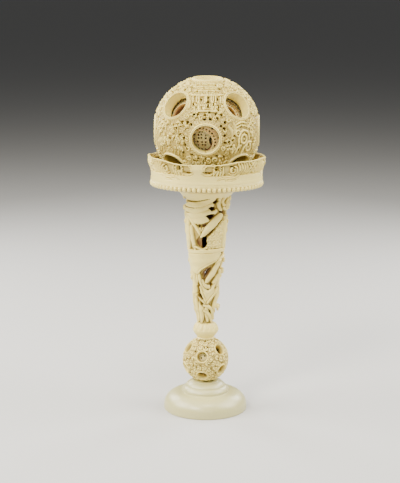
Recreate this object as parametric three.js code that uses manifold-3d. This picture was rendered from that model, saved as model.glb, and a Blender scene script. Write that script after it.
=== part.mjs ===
// An ivory puzzle ball on its stand: nested pierced shells, resting in a pierced dish, on an
// openwork stem, a small puzzle ball and a turned foot.
// Millimetres, +Z up, -Y towards the viewer, origin at the centre of the foot's underside.

import * as THREE from 'three';
import { ConvexGeometry } from 'three/addons/geometries/ConvexGeometry.js';
import { LoftGeometry } from 'three/addons/geometries/LoftGeometry.js';
import { mergeVertices } from 'three/addons/utils/BufferGeometryUtils.js';
import Module from 'manifold-3d';

const wasm = await Module();
wasm.setup();

// The gap between pieces that touch, and how deep a raised form is let into what carries it
const CLEARANCE = 0.3;
const LET_IN = 1.2;
const SAME_PLACE = 1e-4;
const FACET_ALLOWANCE = 0.4;

// Foot
const FOOT_RADIUS = 39.2;
const FOOT_EDGE_HEIGHT = 4.5;
const FOOT_DOME_RISE = 12.8;
const FOOT_DISC_RADIUS = 22.4;
const FOOT_DISC_HEIGHT = 3.4;
const FOOT_STEP_RADIUS = 20.6;
const FOOT_STEP_HEIGHT = 1.6;
const FOOT_CUP_RADIUS = 13.2;
const FOOT_ROUNDING = 0.6;
const FOOT_SIDES = 24;

// Small ball: a body diagonal of its holes stands upright, between foot and neck
const SMALL_BALL_RADIUS = 22;
const SMALL_BALL_LIFT = 3.8;
const SMALL_BALL_WALL = 5.4;
const SMALL_CORE_WALL = 4;
const SMALL_SHELL_GAP = 1.4;
const SMALL_CORE_SINK = 0.4;
const SMALL_MOUTH_RADIUS = 5.6;
const SMALL_CORE_HOLE_RADIUS = 3.2;
const SMALL_BALL_TURN = -25;
const SMALL_CORE_TURN = 5;

// Large ball: its radius over the carving, the flat mouths of its holes, the nested walls
const BALL_RADIUS = 50;
const CARVING_DEPTH = 0.8;
const BALL_WALL = 10;
const MOUTH_LIP = 0.2;
const MOUTH_RADIUS = 12.5;
const FUNNEL_ANGLE = 11;
const COLLAR_WIDTH = 2.9;
const BALL_TIP = 4.6;
const BALL_TURN = -1.5;
const SHELL_GAP = 2;
const SHELL_SINK = 0.8;
const SECOND_WALL = 4.8;
const THIRD_WALL = 4.4;
const INNERMOST_WALL = 9;
const SECOND_HOLE_RADIUS = 10.2;
const THIRD_HOLE_RADIUS = 5.8;
const INNERMOST_HOLE_RADIUS = 4;
const SECOND_TIP = 9.6;
const SECOND_TURN = -4;
const THIRD_TIP = 9.2;
const THIRD_TURN = 14.5;
const INNERMOST_TIP = 4;
const INNERMOST_TURN = 38;

// Raised carving between the large ball's holes
const BOSS_RADIUS = 7.5;
const BOSS_LOBES = 4;
const BOSS_NOTCH_SHARE = 0.6;
const PAVILION_WIDTH = 15;
const PAVILION_HEIGHT = 11;
const PAVILION_RISE = 1.2;
const PAVILION_COLUMN = 1.7;
const PAVILION_COLUMNS = [-0.7, 0, 0.7];
const PAVILION_EAVES_SHARE = 0.62;
const PAVILION_ROOF = [[-1.15, 0.3], [-0.9, 0], [0.9, 0], [1.15, 0.3], [0.5, 1], [-0.5, 1]];

// Dish: the radius of its plain band, and how far the other rings stand from it
const DISH_BAND_RADIUS = 51.8;
const DISH_RIM_FLARE = 2.5;
const DISH_WALL = 3;
const DISH_FLOOR = 4.1;
const DISH_LEDGE = 2;
const DISH_WELL_LIFT = 5.5;
const DISH_WELL_ROUNDING = 6.5;
const DISH_SEAT_RADIUS = 27;
const DISH_RECESS_MARGIN = 3.2;
const BEAD_COUNT = 70;
const BEAD_PROUD = 0.7;
const BEAD_DEPTH = 1.2;
const BEAD_LAP = 0.7;
const BEAD_LIFT = 3.4;
const BEAD_HEIGHT = 4.2;
const COVE_HEIGHT = 2.9;
const PLAIN_BAND_HEIGHT = 7.4;
const GALLERY_HEIGHT = 12.8;
const GALLERY_MOTIFS = 3;
const GALLERY_TURN = -9;
const FLARE_SHARE = 0.5;
const RIM_EDGE = 0.5;
const LEAF_WAVE = 1.6;
const RIM_LEAN = 1.2;
const SCROLL_RADIUS = 4.4;
const SCROLL_RISE = 0.8;
const SCROLL_PLACE = 36;
const SCROLL_SHARE = 0.43;
const SCROLL_SIDES = 6;
const DISH_SIDES = 36;
const DISH_WELL_SIDES = 20;

// Stem, from the neck on the small ball up to the flare under the dish
const NECK_RADIUS = 8;
const NECK_RING_RADIUS = 8.8;
const NECK_HEIGHT = 2.2;
const NECK_RING_SHARE = 0.3;
const NECK_STEP_SHARE = 0.5;
const KNOP_RADIUS = 12.3;
const KNOP_HEIGHT = 13.5;
const WAIST_RADIUS = 7.8;
const STEM_HEIGHT = 142.4;
const STEM_SHOULDER_RADIUS = 18.9;
const STEM_SWELL = 72;
const STEM_FLARE_RADIUS = 27;
const STEM_FLARE_HEIGHT = 5.5;
const STEM_WALL = 4.5;
const STEM_SOLID_FOOT = 12;
const BAND_RISE = 2;
const BAND_CROWN_SHARE = 0.7;
const BAND_END_SHARE = 0.5;
const STEM_SIDES = 14;

const rad = THREE.MathUtils.degToRad;
const UP = new THREE.Vector3(0, 0, 1);

// Heights that follow from the sizes above
const footDomeTop = FOOT_EDGE_HEIGHT + FOOT_DOME_RISE;
const footStepTop = footDomeTop + FOOT_DISC_HEIGHT + FOOT_STEP_HEIGHT;
const smallBallZ = footStepTop + SMALL_BALL_LIFT + SMALL_BALL_RADIUS;
const neckBase = smallBallZ + capHeight(SMALL_BALL_RADIUS + CLEARANCE, NECK_RING_RADIUS);
const knopBase = neckBase + NECK_HEIGHT;
const bandsBase = knopBase + KNOP_HEIGHT;
const stemTop = neckBase + STEM_HEIGHT;
const bandsTop = stemTop - STEM_FLARE_HEIGHT;
const dishBase = stemTop + CLEARANCE;
const ballZ = dishBase + DISH_FLOOR + CLEARANCE + BALL_RADIUS;

// Height over a sphere's centre of its surface at a distance from its axis
function capHeight(sphereRadius, distance) {
  return Math.sqrt(sphereRadius ** 2 - distance ** 2);
}

// The solid of a closed geometry, and back
function solidOf(geometry) {
  const bare = new THREE.BufferGeometry();
  bare.setAttribute('position', geometry.getAttribute('position'));
  bare.setIndex(geometry.index);
  const merged = mergeVertices(bare, SAME_PLACE);
  return new wasm.Manifold(new wasm.Mesh({
    numProp: 3,
    vertProperties: new Float32Array(merged.attributes.position.array),
    triVerts: new Uint32Array(merged.index.array),
  }));
}

function geometryOf(solid) {
  const mesh = solid.getMesh();
  const geometry = new THREE.BufferGeometry();
  geometry.setAttribute('position', new THREE.BufferAttribute(mesh.vertProperties, 3));
  geometry.setIndex(new THREE.BufferAttribute(mesh.triVerts, 1));
  geometry.computeVertexNormals();
  return geometry;
}

// A turned form about +Z, from [radius, height] pairs that run from the bottom to the top
function turned(profile, sides) {
  const points = profile.map(([r, z]) => new THREE.Vector2(r, z));
  return new THREE.LatheGeometry(points, sides).rotateX(Math.PI / 2);
}

// A point at an angle from the front, in degrees, towards +X
function around(radius, degrees, z) {
  return new THREE.Vector3(radius * Math.sin(rad(degrees)), -radius * Math.cos(rad(degrees)), z);
}

function pointing(geometry, direction) {
  return geometry.applyQuaternion(new THREE.Quaternion().setFromUnitVectors(UP, direction));
}

function ivory(color, roughness) {
  return new THREE.MeshStandardMaterial({ color, roughness, metalness: 0 });
}

function piece(name, solid, material) {
  const mesh = new THREE.Mesh(geometryOf(solid), material);
  mesh.name = name;
  return mesh;
}

// Foot: a dome, a stepped disc and a swelling cup with a round seat for the small ball
function foot() {
  const profile = [[0, 0], [FOOT_RADIUS - FOOT_ROUNDING, 0], [FOOT_RADIUS, FOOT_ROUNDING]];
  const domeSteps = 4;
  for (let i = 0; i <= domeSteps; i += 1) {
    const turn = (Math.PI / 2) * (i / domeSteps);
    const reach = FOOT_RADIUS - FOOT_DISC_RADIUS - FOOT_ROUNDING;
    profile.push([
      FOOT_DISC_RADIUS + FOOT_ROUNDING + reach * Math.cos(turn),
      FOOT_EDGE_HEIGHT + FOOT_DOME_RISE * Math.sin(turn),
    ]);
  }
  const discTop = footDomeTop + FOOT_DISC_HEIGHT;
  profile.push([FOOT_DISC_RADIUS, footDomeTop + FOOT_ROUNDING / 2]);
  profile.push([FOOT_DISC_RADIUS, discTop - FOOT_ROUNDING]);
  profile.push([FOOT_DISC_RADIUS - FOOT_ROUNDING, discTop]);
  profile.push([FOOT_STEP_RADIUS, discTop + FOOT_ROUNDING / 2]);
  profile.push([FOOT_STEP_RADIUS, footStepTop - FOOT_ROUNDING]);
  const seat = SMALL_BALL_RADIUS + CLEARANCE;
  const lip = smallBallZ - capHeight(seat, FOOT_CUP_RADIUS);
  const cupSteps = 3;
  for (let i = 0; i <= cupSteps; i += 1) {
    const turn = (Math.PI / 2) * (i / cupSteps);
    profile.push([
      FOOT_CUP_RADIUS + FOOT_ROUNDING
        + (FOOT_STEP_RADIUS - FOOT_CUP_RADIUS - 2 * FOOT_ROUNDING) * Math.cos(turn),
      footStepTop + (lip - footStepTop - FOOT_ROUNDING) * Math.sin(turn),
    ]);
  }
  const seatSteps = 2;
  for (let i = 0; i <= seatSteps; i += 1) {
    const r = FOOT_CUP_RADIUS * (1 - i / seatSteps);
    profile.push([r, smallBallZ - capHeight(seat, r)]);
  }
  return solidOf(turned(profile, FOOT_SIDES));
}

// The hole directions of a puzzle ball: six faces and eight corners of a cube
function faceDirections() {
  return [[0, -1, 0], [0, 1, 0], [1, 0, 0], [-1, 0, 0], [0, 0, 1], [0, 0, -1]]
    .map((axis) => new THREE.Vector3(...axis));
}

function cornerDirections() {
  const corners = [];
  for (const x of [-1, 1]) {
    for (const y of [-1, 1]) {
      for (const z of [-1, 1]) {
        corners.push(new THREE.Vector3(x, y, z).normalize());
      }
    }
  }
  return corners;
}

function allHoleDirections() {
  return [...faceDirections(), ...cornerDirections()];
}

function edgeDirections() {
  const edges = [];
  for (const a of [-1, 1]) {
    for (const b of [-1, 1]) {
      edges.push([a, b, 0], [a, 0, b], [0, a, b]);
    }
  }
  return edges.map((edge) => new THREE.Vector3(...edge).normalize());
}

// A ring of points about a direction
function ringAbout({ direction, ringRadius, distance, sides }) {
  const ring = [];
  for (let i = 0; i < sides; i += 1) {
    const turn = (Math.PI * 2 * i) / sides;
    ring.push(new THREE.Vector3(ringRadius * Math.sin(turn), -ringRadius * Math.cos(turn), distance));
  }
  const swing = new THREE.Quaternion().setFromUnitVectors(UP, direction);
  return ring.map((point) => point.applyQuaternion(swing));
}

// The corners of a faceted ball's triangles, left open inside each ring where a hole comes out
function openBall(mouths, fill) {
  const points = [...mouths.flatMap(ringAbout), ...fill];
  const hull = new ConvexGeometry(points).getAttribute('position');
  const corners = [];
  for (let i = 0; i < hull.count; i += 3) {
    const triangle = [0, 1, 2].map((k) => new THREE.Vector3().fromBufferAttribute(hull, i + k));
    const insideMouth = mouths.some(({ direction, distance }) => (
      triangle.every((corner) => Math.abs(corner.dot(direction) - distance) < SAME_PLACE)
    ));
    if (!insideMouth) {
      corners.push(...triangle);
    }
  }
  return corners;
}

// A shell with round holes that narrow inwards: an outer and an inner ball joined hole by hole
function piercedShell(size) {
  const inside = size.radius - size.wall;
  const innerHole = size.holeRadius - (size.mouthDistance - inside) * size.taper;
  const spread = (ringRadius, distance) => size.directions.map((direction) => (
    { direction, ringRadius, distance, sides: size.holeSides }
  ));
  const outerMouths = spread(size.holeRadius, size.mouthDistance);
  const innerMouths = spread(innerHole, capHeight(inside, innerHole));
  const collars = size.collarRadius > size.holeRadius
    ? spread(size.collarRadius, capHeight(size.radius + size.collarRise, size.collarRadius))
    : [];
  const fillAt = (radius) => size.between.map((direction) => direction.clone().multiplyScalar(radius));
  const outerFill = [...collars.flatMap(ringAbout), ...fillAt(size.radius)];
  const corners = openBall(outerMouths, outerFill);
  corners.push(...openBall(innerMouths, fillAt(inside)).reverse());
  outerMouths.forEach((mouth, hole) => {
    const outer = ringAbout(mouth);
    const inner = ringAbout(innerMouths[hole]);
    for (let i = 0; i < size.holeSides; i += 1) {
      const next = (i + 1) % size.holeSides;
      corners.push(outer[i], outer[next], inner[i], outer[next], inner[next], inner[i]);
    }
  });
  return solidOf(new THREE.BufferGeometry().setFromPoints(corners));
}

// A shell with no collars, its holes pointing at its centre
function plainShell(size) {
  const mouthDistance = capHeight(size.radius, size.holeRadius);
  return piercedShell({
    ...size,
    mouthDistance,
    taper: size.holeRadius / mouthDistance,
    collarRadius: 0,
    collarRise: 0,
  });
}

// A lobed cloud boss, carved on the ground between the holes
function cloudBoss(ground) {
  const outline = new THREE.Shape();
  const steps = BOSS_LOBES * 2;
  for (let i = 0; i < steps; i += 1) {
    const reach = i % 2 === 0 ? BOSS_RADIUS : BOSS_RADIUS * BOSS_NOTCH_SHARE;
    const turn = (Math.PI * 2 * i) / steps;
    const point = [reach * Math.cos(turn), reach * Math.sin(turn)];
    if (i === 0) {
      outline.moveTo(...point);
    } else {
      outline.lineTo(...point);
    }
  }
  const edge = capHeight(ground, BOSS_RADIUS) - LET_IN;
  return new THREE.ExtrudeGeometry(outline, {
    depth: capHeight(ground + CARVING_DEPTH, BOSS_RADIUS) - edge,
    bevelEnabled: false,
  }).translate(0, 0, edge);
}

// A pavilion in low relief: a floor, columns and a roof with turned-up eaves
function pavilion(ground) {
  const half = PAVILION_WIDTH / 2;
  const eaves = PAVILION_HEIGHT * PAVILION_EAVES_SHARE;
  const parts = [
    new THREE.BoxGeometry(PAVILION_WIDTH, PAVILION_COLUMN, 1).translate(0, PAVILION_COLUMN / 2, 0),
  ];
  for (const place of PAVILION_COLUMNS) {
    const height = eaves + PAVILION_COLUMN;
    parts.push(new THREE.BoxGeometry(PAVILION_COLUMN, height, 1)
      .translate(place * half, height / 2, 0));
  }
  const roof = new THREE.Shape(PAVILION_ROOF.map(([x, rise]) => (
    new THREE.Vector2(x * half, eaves + rise * (PAVILION_HEIGHT - eaves))
  )));
  parts.push(new THREE.ExtrudeGeometry(roof, { depth: 1, bevelEnabled: false }).translate(0, 0, -0.5));
  const edge = capHeight(ground, Math.hypot(half, PAVILION_HEIGHT / 2)) - LET_IN;
  const top = ground + PAVILION_RISE;
  return parts.map((part) => part
    .scale(1, 1, top - edge)
    .translate(0, -PAVILION_HEIGHT / 2, (top + edge) / 2));
}

const ballGround = BALL_RADIUS - CARVING_DEPTH;
const bore = ballGround - BALL_WALL;
const secondRadius = bore - SHELL_GAP;
const thirdRadius = secondRadius - SECOND_WALL - SHELL_GAP;
const innermostRadius = thirdRadius - THIRD_WALL - SHELL_GAP;

function ballOuterShell() {
  const collarRadius = MOUTH_RADIUS + COLLAR_WIDTH;
  const mouthDistance = capHeight(BALL_RADIUS, collarRadius) + MOUTH_LIP;
  let shell = piercedShell({
    radius: ballGround,
    wall: BALL_WALL,
    holeRadius: MOUTH_RADIUS,
    mouthDistance,
    taper: Math.tan(rad(FUNNEL_ANGLE)),
    collarRadius,
    collarRise: CARVING_DEPTH,
    directions: allHoleDirections(),
    between: edgeDirections(),
    holeSides: 12,
  });
  for (const direction of edgeDirections()) {
    const facesViewer = direction.y < 0 && direction.z > 0 && direction.x === 0;
    if (facesViewer) {
      const tilt = new THREE.Matrix4().makeRotationX(Math.PI / 4);
      for (const part of pavilion(ballGround)) {
        shell = shell.add(solidOf(part.applyMatrix4(tilt)));
      }
    } else {
      shell = shell.add(solidOf(pointing(cloudBoss(ballGround), direction)));
    }
  }
  return shell;
}

// Small ball: every hole is open but the two that the foot and the neck close
function uprightDiagonal(direction) {
  const diagonal = new THREE.Vector3(1, 1, 1).normalize();
  const turn = new THREE.Quaternion().setFromUnitVectors(diagonal, UP);
  return direction.clone().applyQuaternion(turn);
}

const onAxis = (direction) => Math.abs(direction.z) > 1 - SAME_PLACE;
const uprightHoles = allHoleDirections().map(uprightDiagonal);
const smallHoles = {
  directions: uprightHoles.filter((direction) => !onAxis(direction)),
  between: [...uprightHoles.filter(onAxis), ...edgeDirections().map(uprightDiagonal)],
};

const smallCoreRadius = SMALL_BALL_RADIUS - SMALL_BALL_WALL - SMALL_SHELL_GAP;

// Radii and heights of the dish, inside and out
const rimRadius = DISH_BAND_RADIUS + DISH_RIM_FLARE;
const beadRadius = DISH_BAND_RADIUS + BEAD_PROUD;
const beadBase = dishBase + BEAD_LIFT;
const beadTop = beadBase + BEAD_HEIGHT;
const bandBase = beadTop + COVE_HEIGHT;
const galleryBase = bandBase + PLAIN_BAND_HEIGHT;
const flareTop = galleryBase + GALLERY_HEIGHT * FLARE_SHARE;
const rimZ = galleryBase + GALLERY_HEIGHT;
const seatZ = (r) => ballZ - capHeight(BALL_RADIUS + CLEARANCE + FACET_ALLOWANCE, r);

// The leafy edge of the rim: low over the middle of each motif, and lower in front than behind
function leafEdge(degrees) {
  const phase = rad((degrees - GALLERY_TURN) * GALLERY_MOTIFS);
  const leaves = 0.25 * Math.cos(3 * phase) - 0.75 * Math.cos(phase);
  return LEAF_WAVE * leaves - RIM_LEAN * Math.cos(rad(degrees));
}

// One ring of points of the outside, with the leafy edge of the rim to the share that wave gives
function dishRing(radius, z, wave) {
  const ring = [];
  for (let i = 0; i < DISH_SIDES; i += 1) {
    const degrees = (360 * i) / DISH_SIDES;
    ring.push(around(radius, degrees, z + wave * leafEdge(degrees)));
  }
  return ring;
}

function dishOutside() {
  const beadRoot = beadRadius - BEAD_DEPTH - BEAD_LAP;
  const sections = [
    [0, dishBase, 0],
    [STEM_FLARE_RADIUS + DISH_LEDGE, dishBase, 0],
    [beadRoot, beadBase, 0],
    [beadRoot, beadTop + RIM_EDGE, 0],
    [DISH_BAND_RADIUS, bandBase, 0],
    [DISH_BAND_RADIUS, galleryBase, 0],
    [rimRadius, flareTop, 0],
    [rimRadius, rimZ, 1],
    [rimRadius - DISH_WALL + RIM_EDGE, rimZ - RIM_EDGE, 1],
    [rimRadius - DISH_WALL, flareTop, 0],
    [0, flareTop, 0],
  ];
  return solidOf(new LoftGeometry(sections.map((section) => dishRing(...section))));
}

// The hollow inside: a well round a raised seat for the ball, and a recess under its lowest mouth
function dishWell() {
  const floor = dishBase + DISH_FLOOR;
  const wellZ = dishBase + DISH_WELL_LIFT;
  const recess = MOUTH_RADIUS + COLLAR_WIDTH + DISH_RECESS_MARGIN;
  const wall = DISH_BAND_RADIUS - DISH_WALL;
  const rimWall = rimRadius - DISH_WALL - RIM_EDGE;
  return solidOf(turned([
    [0, floor],
    [recess, floor],
    [recess, seatZ(recess)],
    [DISH_SEAT_RADIUS, seatZ(DISH_SEAT_RADIUS)],
    [DISH_SEAT_RADIUS + DISH_WALL, seatZ(DISH_SEAT_RADIUS)],
    [DISH_SEAT_RADIUS + 2 * DISH_WALL, wellZ],
    [wall - DISH_WELL_ROUNDING, wellZ],
    [wall, wellZ + DISH_WELL_ROUNDING],
    [wall, galleryBase],
    [rimWall, flareTop],
    [rimWall, flareTop + LET_IN],
    [0, flareTop + LET_IN],
  ], DISH_WELL_SIDES));
}

// The bead moulding, as a scalloped band
function beadBand() {
  const outline = new THREE.Shape();
  const steps = BEAD_COUNT * 2;
  for (let i = 0; i < steps; i += 1) {
    const turn = (Math.PI * 2 * i) / steps;
    const reach = i % 2 === 0 ? beadRadius : beadRadius - BEAD_DEPTH;
    const point = [reach * Math.cos(turn), reach * Math.sin(turn)];
    if (i === 0) {
      outline.moveTo(...point);
    } else {
      outline.lineTo(...point);
    }
  }
  const hole = new THREE.Path();
  hole.absarc(0, 0, beadRadius - DISH_WALL, 0, Math.PI * 2, true);
  outline.holes.push(hole);
  const band = new THREE.ExtrudeGeometry(outline, {
    depth: BEAD_HEIGHT,
    bevelEnabled: false,
    curveSegments: DISH_WELL_SIDES / 2,
  });
  return solidOf(band.translate(0, 0, beadBase));
}

// An oval bar along the radius at an angle from the front
function radialBar(size) {
  const length = size.outer - size.inner;
  return new THREE.CylinderGeometry(0.5, 0.5, length, size.sides)
    .scale(size.width, 1, size.height)
    .rotateY(rad(size.tilt))
    .translate(0, -(size.outer + size.inner) / 2, size.z)
    .rotateZ(rad(size.degrees));
}

// Piercings of one half motif: degrees from its middle, share of the gallery's height, size
const GALLERY_PIERCINGS = [
  { degrees: 10, share: 0.26, width: 6.6, height: 2.4, sides: 4 },
  { degrees: 19, share: 0.62, width: 5, height: 4.6, sides: 5 },
  { degrees: 27.5, share: 0.16, width: 3.4, height: 3, sides: 3 },
  { degrees: 34, share: 0.62, width: 3.4, height: 3, sides: 5 },
];

function galleryBar(degrees, share, bar) {
  return solidOf(radialBar({ ...bar, degrees, tilt: 0, z: galleryBase + GALLERY_HEIGHT * share }));
}

function dish() {
  let body = dishOutside().subtract(dishWell()).add(beadBand());
  for (let motif = 0; motif < GALLERY_MOTIFS; motif += 1) {
    const middle = GALLERY_TURN + (360 * motif) / GALLERY_MOTIFS;
    for (const side of [-1, 1]) {
      body = body.add(galleryBar(middle + side * SCROLL_PLACE, SCROLL_SHARE, {
        width: 2 * SCROLL_RADIUS,
        height: 2 * SCROLL_RADIUS,
        inner: rimRadius - LET_IN,
        outer: rimRadius + SCROLL_RISE,
        sides: SCROLL_SIDES,
      }));
      for (const { degrees, share, ...size } of GALLERY_PIERCINGS) {
        body = body.subtract(galleryBar(middle + side * degrees, share, {
          ...size,
          inner: rimRadius - 2 * DISH_WALL,
          outer: rimRadius + DISH_WALL,
        }));
      }
    }
  }
  return body;
}

// Stem: a hollow swelling core, bands of drapery that wrap it, curls, and piercings between them
const stemZ = (share) => bandsBase + (bandsTop - bandsBase) * share;

function stemRadius(share) {
  const swell = Math.sin(rad(STEM_SWELL) * share) / Math.sin(rad(STEM_SWELL));
  return WAIST_RADIUS + (STEM_SHOULDER_RADIUS - WAIST_RADIUS) * swell;
}

// [share of the knop's height, share of its swelling]
const KNOP_PROFILE = [[0.14, 0.4], [0.42, 1], [0.66, 0.85], [0.88, 0.3]];

function stemCore() {
  const seat = SMALL_BALL_RADIUS + CLEARANCE;
  const seatZAt = (r) => smallBallZ + capHeight(seat, r);
  const profile = [
    [0, seatZAt(0)],
    [NECK_RING_RADIUS / 2, seatZAt(NECK_RING_RADIUS / 2)],
    [NECK_RING_RADIUS, neckBase],
    [NECK_RING_RADIUS, neckBase + NECK_HEIGHT * NECK_RING_SHARE],
    [NECK_RADIUS, neckBase + NECK_HEIGHT * NECK_STEP_SHARE],
    [NECK_RADIUS, knopBase],
  ];
  for (const [rise, swell] of KNOP_PROFILE) {
    profile.push([NECK_RADIUS + (KNOP_RADIUS - NECK_RADIUS) * swell, knopBase + KNOP_HEIGHT * rise]);
  }
  const swellSteps = 6;
  for (let i = 0; i <= swellSteps; i += 1) {
    const share = i / swellSteps;
    profile.push([stemRadius(share), stemZ(share)]);
  }
  const flareSteps = 2;
  for (let i = 1; i <= flareSteps; i += 1) {
    const turn = (Math.PI / 2) * (i / flareSteps);
    profile.push([
      STEM_SHOULDER_RADIUS + (STEM_FLARE_RADIUS - STEM_SHOULDER_RADIUS) * (1 - Math.cos(turn)),
      bandsTop + STEM_FLARE_HEIGHT * Math.sin(turn),
    ]);
  }
  profile.push([0, stemTop]);
  return solidOf(turned(profile, STEM_SIDES));
}

function stemBore() {
  const start = STEM_SOLID_FOOT / (bandsTop - bandsBase);
  const profile = [[0, stemZ(start)]];
  const steps = 3;
  for (let i = 0; i <= steps; i += 1) {
    const share = start + (1 - start) * (i / steps);
    profile.push([stemRadius(share) - STEM_WALL, stemZ(share)]);
  }
  profile.push([0, stemZ(1)]);
  return solidOf(turned(profile, STEM_SIDES / 2));
}

// Bands as routes of [degrees from the front, share of the height], with a width
const FRONT_BANDS = [
  { route: [[-78, 0.93], [-25, 0.94], [28, 0.965]], width: 4.6 },
  { route: [[-74, 0.875], [-25, 0.885], [30, 0.91]], width: 4.6 },
  { route: [[-66, 0.82], [-25, 0.83], [26, 0.85]], width: 4.6 },
  { route: [[-62, 0.84], [-38, 0.77], [-14, 0.672]], width: 5 },
  { route: [[88, 0.9], [24, 0.765], [-18, 0.665]], width: 7.5 },
  { route: [[-58, 0.8], [-66, 0.69], [-62, 0.58]], width: 5.5 },
  { route: [[66, 0.82], [70, 0.7], [64, 0.6]], width: 4 },
  { route: [[-84, 0.575], [0, 0.55], [84, 0.58]], width: 4 },
  { route: [[66, 0.54], [24, 0.44], [-24, 0.39]], width: 4 },
  { route: [[-66, 0.5], [-60, 0.28], [-42, 0.07]], width: 7 },
  { route: [[-42, 0.44], [-24, 0.31], [14, 0.29], [74, 0.44]], width: 4.6 },
  { route: [[78, 0.33], [36, 0.21], [-8, 0.12]], width: 6.4 },
  { route: [[-38, 0.215], [0, 0.14], [36, 0.08]], width: 3.6 },
];

// The back, in keeping and plainer
const BACK_BANDS = [
  { route: [[100, 0.86], [150, 0.76], [196, 0.62]], width: 7 },
  { route: [[260, 0.84], [215, 0.74], [180, 0.6]], width: 6 },
  { route: [[110, 0.48], [150, 0.32], [172, 0.1]], width: 6.4 },
  { route: [[250, 0.46], [214, 0.3], [196, 0.08]], width: 6.4 },
];

// Piercings between them
const STEM_PIERCINGS = [
  { degrees: 30, share: 0.936, width: 4, height: 3.4, tilt: 0, sides: 4 },
  { degrees: 21, share: 0.886, width: 6, height: 4, tilt: 0, sides: 5 },
  { degrees: 12, share: 0.82, width: 6.4, height: 4.4, tilt: 180, sides: 3 },
  { degrees: -40, share: 0.75, width: 3, height: 8, tilt: -20, sides: 4 },
  { degrees: -8, share: 0.61, width: 8, height: 11, tilt: 0, sides: 6 },
  { degrees: 10, share: 0.378, width: 6, height: 13, tilt: 32, sides: 6 },
  { degrees: -34, share: 0.288, width: 3.4, height: 7, tilt: 0, sides: 4 },
  { degrees: -24, share: 0.2, width: 4, height: 8, tilt: -16, sides: 5 },
  { degrees: 94, share: 0.7, width: 6, height: 9, tilt: 0, sides: 5 },
  { degrees: 96, share: 0.42, width: 5, height: 10, tilt: -20, sides: 5 },
  { degrees: 180, share: 0.72, width: 8, height: 9, tilt: 0, sides: 5 },
  { degrees: 184, share: 0.42, width: 7, height: 11, tilt: 0, sides: 5 },
];

// Curls that stand out of the outline: degrees, share of the height, radius
const STEM_CURLS = [
  [78, 0.955, 3.4],
  [76, 0.89, 3.6],
  [84, 0.416, 2.8],
  [80, 0.13, 2.4],
  [-84, 0.355, 2.4],
];

// A band with a flat crown, laid on the swelling core and tapered at its ends
function stemBand(band) {
  const route = new THREE.CatmullRomCurve3(band.route.map(([degrees, share]) => (
    around(stemRadius(share), degrees, stemZ(share))
  )));
  const surface = (t) => {
    const place = route.getPoint(THREE.MathUtils.clamp(t, 0, 1));
    const outward = new THREE.Vector3(place.x, place.y, 0).normalize();
    const share = (place.z - bandsBase) / (bandsTop - bandsBase);
    const point = outward.clone().multiplyScalar(stemRadius(share)).setZ(place.z);
    return { point, outward };
  };
  const steps = band.route.length;
  const nudge = 0.01;
  const sections = [];
  for (let i = 0; i <= steps; i += 1) {
    const t = i / steps;
    const { point, outward } = surface(t);
    const along = surface(t + nudge).point.sub(surface(t - nudge).point).normalize();
    const across = along.cross(outward).normalize();
    const half = (band.width / 2) * Math.min(1, BAND_END_SHARE + 2 * Math.min(t, 1 - t));
    const corner = (side, lift) => point.clone()
      .addScaledVector(across, side * half)
      .addScaledVector(outward, lift);
    sections.push([
      corner(1, -LET_IN),
      corner(-1, -LET_IN),
      corner(-BAND_CROWN_SHARE, BAND_RISE),
      corner(BAND_CROWN_SHARE, BAND_RISE),
    ]);
  }
  return solidOf(new LoftGeometry(sections, { capStart: true, capEnd: true }));
}

function stem() {
  let body = stemCore();
  for (const band of [...FRONT_BANDS, ...BACK_BANDS]) {
    body = body.add(stemBand(band));
  }
  for (const [degrees, share, radius] of STEM_CURLS) {
    const place = around(stemRadius(share) + BAND_RISE / 2, degrees, stemZ(share));
    const curl = new THREE.SphereGeometry(radius, 6, 3).translate(place.x, place.y, place.z);
    body = body.add(solidOf(curl));
  }
  body = body.subtract(stemBore());
  for (const hole of STEM_PIERCINGS) {
    body = body.subtract(solidOf(radialBar({
      ...hole,
      z: stemZ(hole.share),
      inner: 0,
      outer: STEM_SHOULDER_RADIUS + LET_IN + 2 * BAND_RISE,
    })));
  }
  return body;
}

// The object, each piece where it rests
const stand = new THREE.Group();
stand.add(piece('foot', foot(), ivory(0xcbc5a8, 0.3)));
stand.add(piece('stem', stem(), ivory(0xd8cfae, 0.45)));
stand.add(piece('dish', dish(), ivory(0xdbd3b4, 0.42)));

const smallBall = new THREE.Group();
smallBall.position.z = smallBallZ;
const smallShell = piece('small_ball_shell', plainShell({
  radius: SMALL_BALL_RADIUS,
  wall: SMALL_BALL_WALL,
  holeRadius: SMALL_MOUTH_RADIUS,
  ...smallHoles,
  holeSides: 8,
}), ivory(0xd8cfae, 0.45));
smallShell.rotation.z = rad(SMALL_BALL_TURN);
const smallCore = piece('small_ball_core', plainShell({
  radius: smallCoreRadius,
  wall: SMALL_CORE_WALL,
  holeRadius: SMALL_CORE_HOLE_RADIUS,
  ...smallHoles,
  holeSides: 6,
}), ivory(0xd8c39a, 0.5));
smallCore.rotation.z = rad(SMALL_CORE_TURN);
smallCore.position.z = -SMALL_CORE_SINK;
smallBall.add(smallShell, smallCore);

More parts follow.
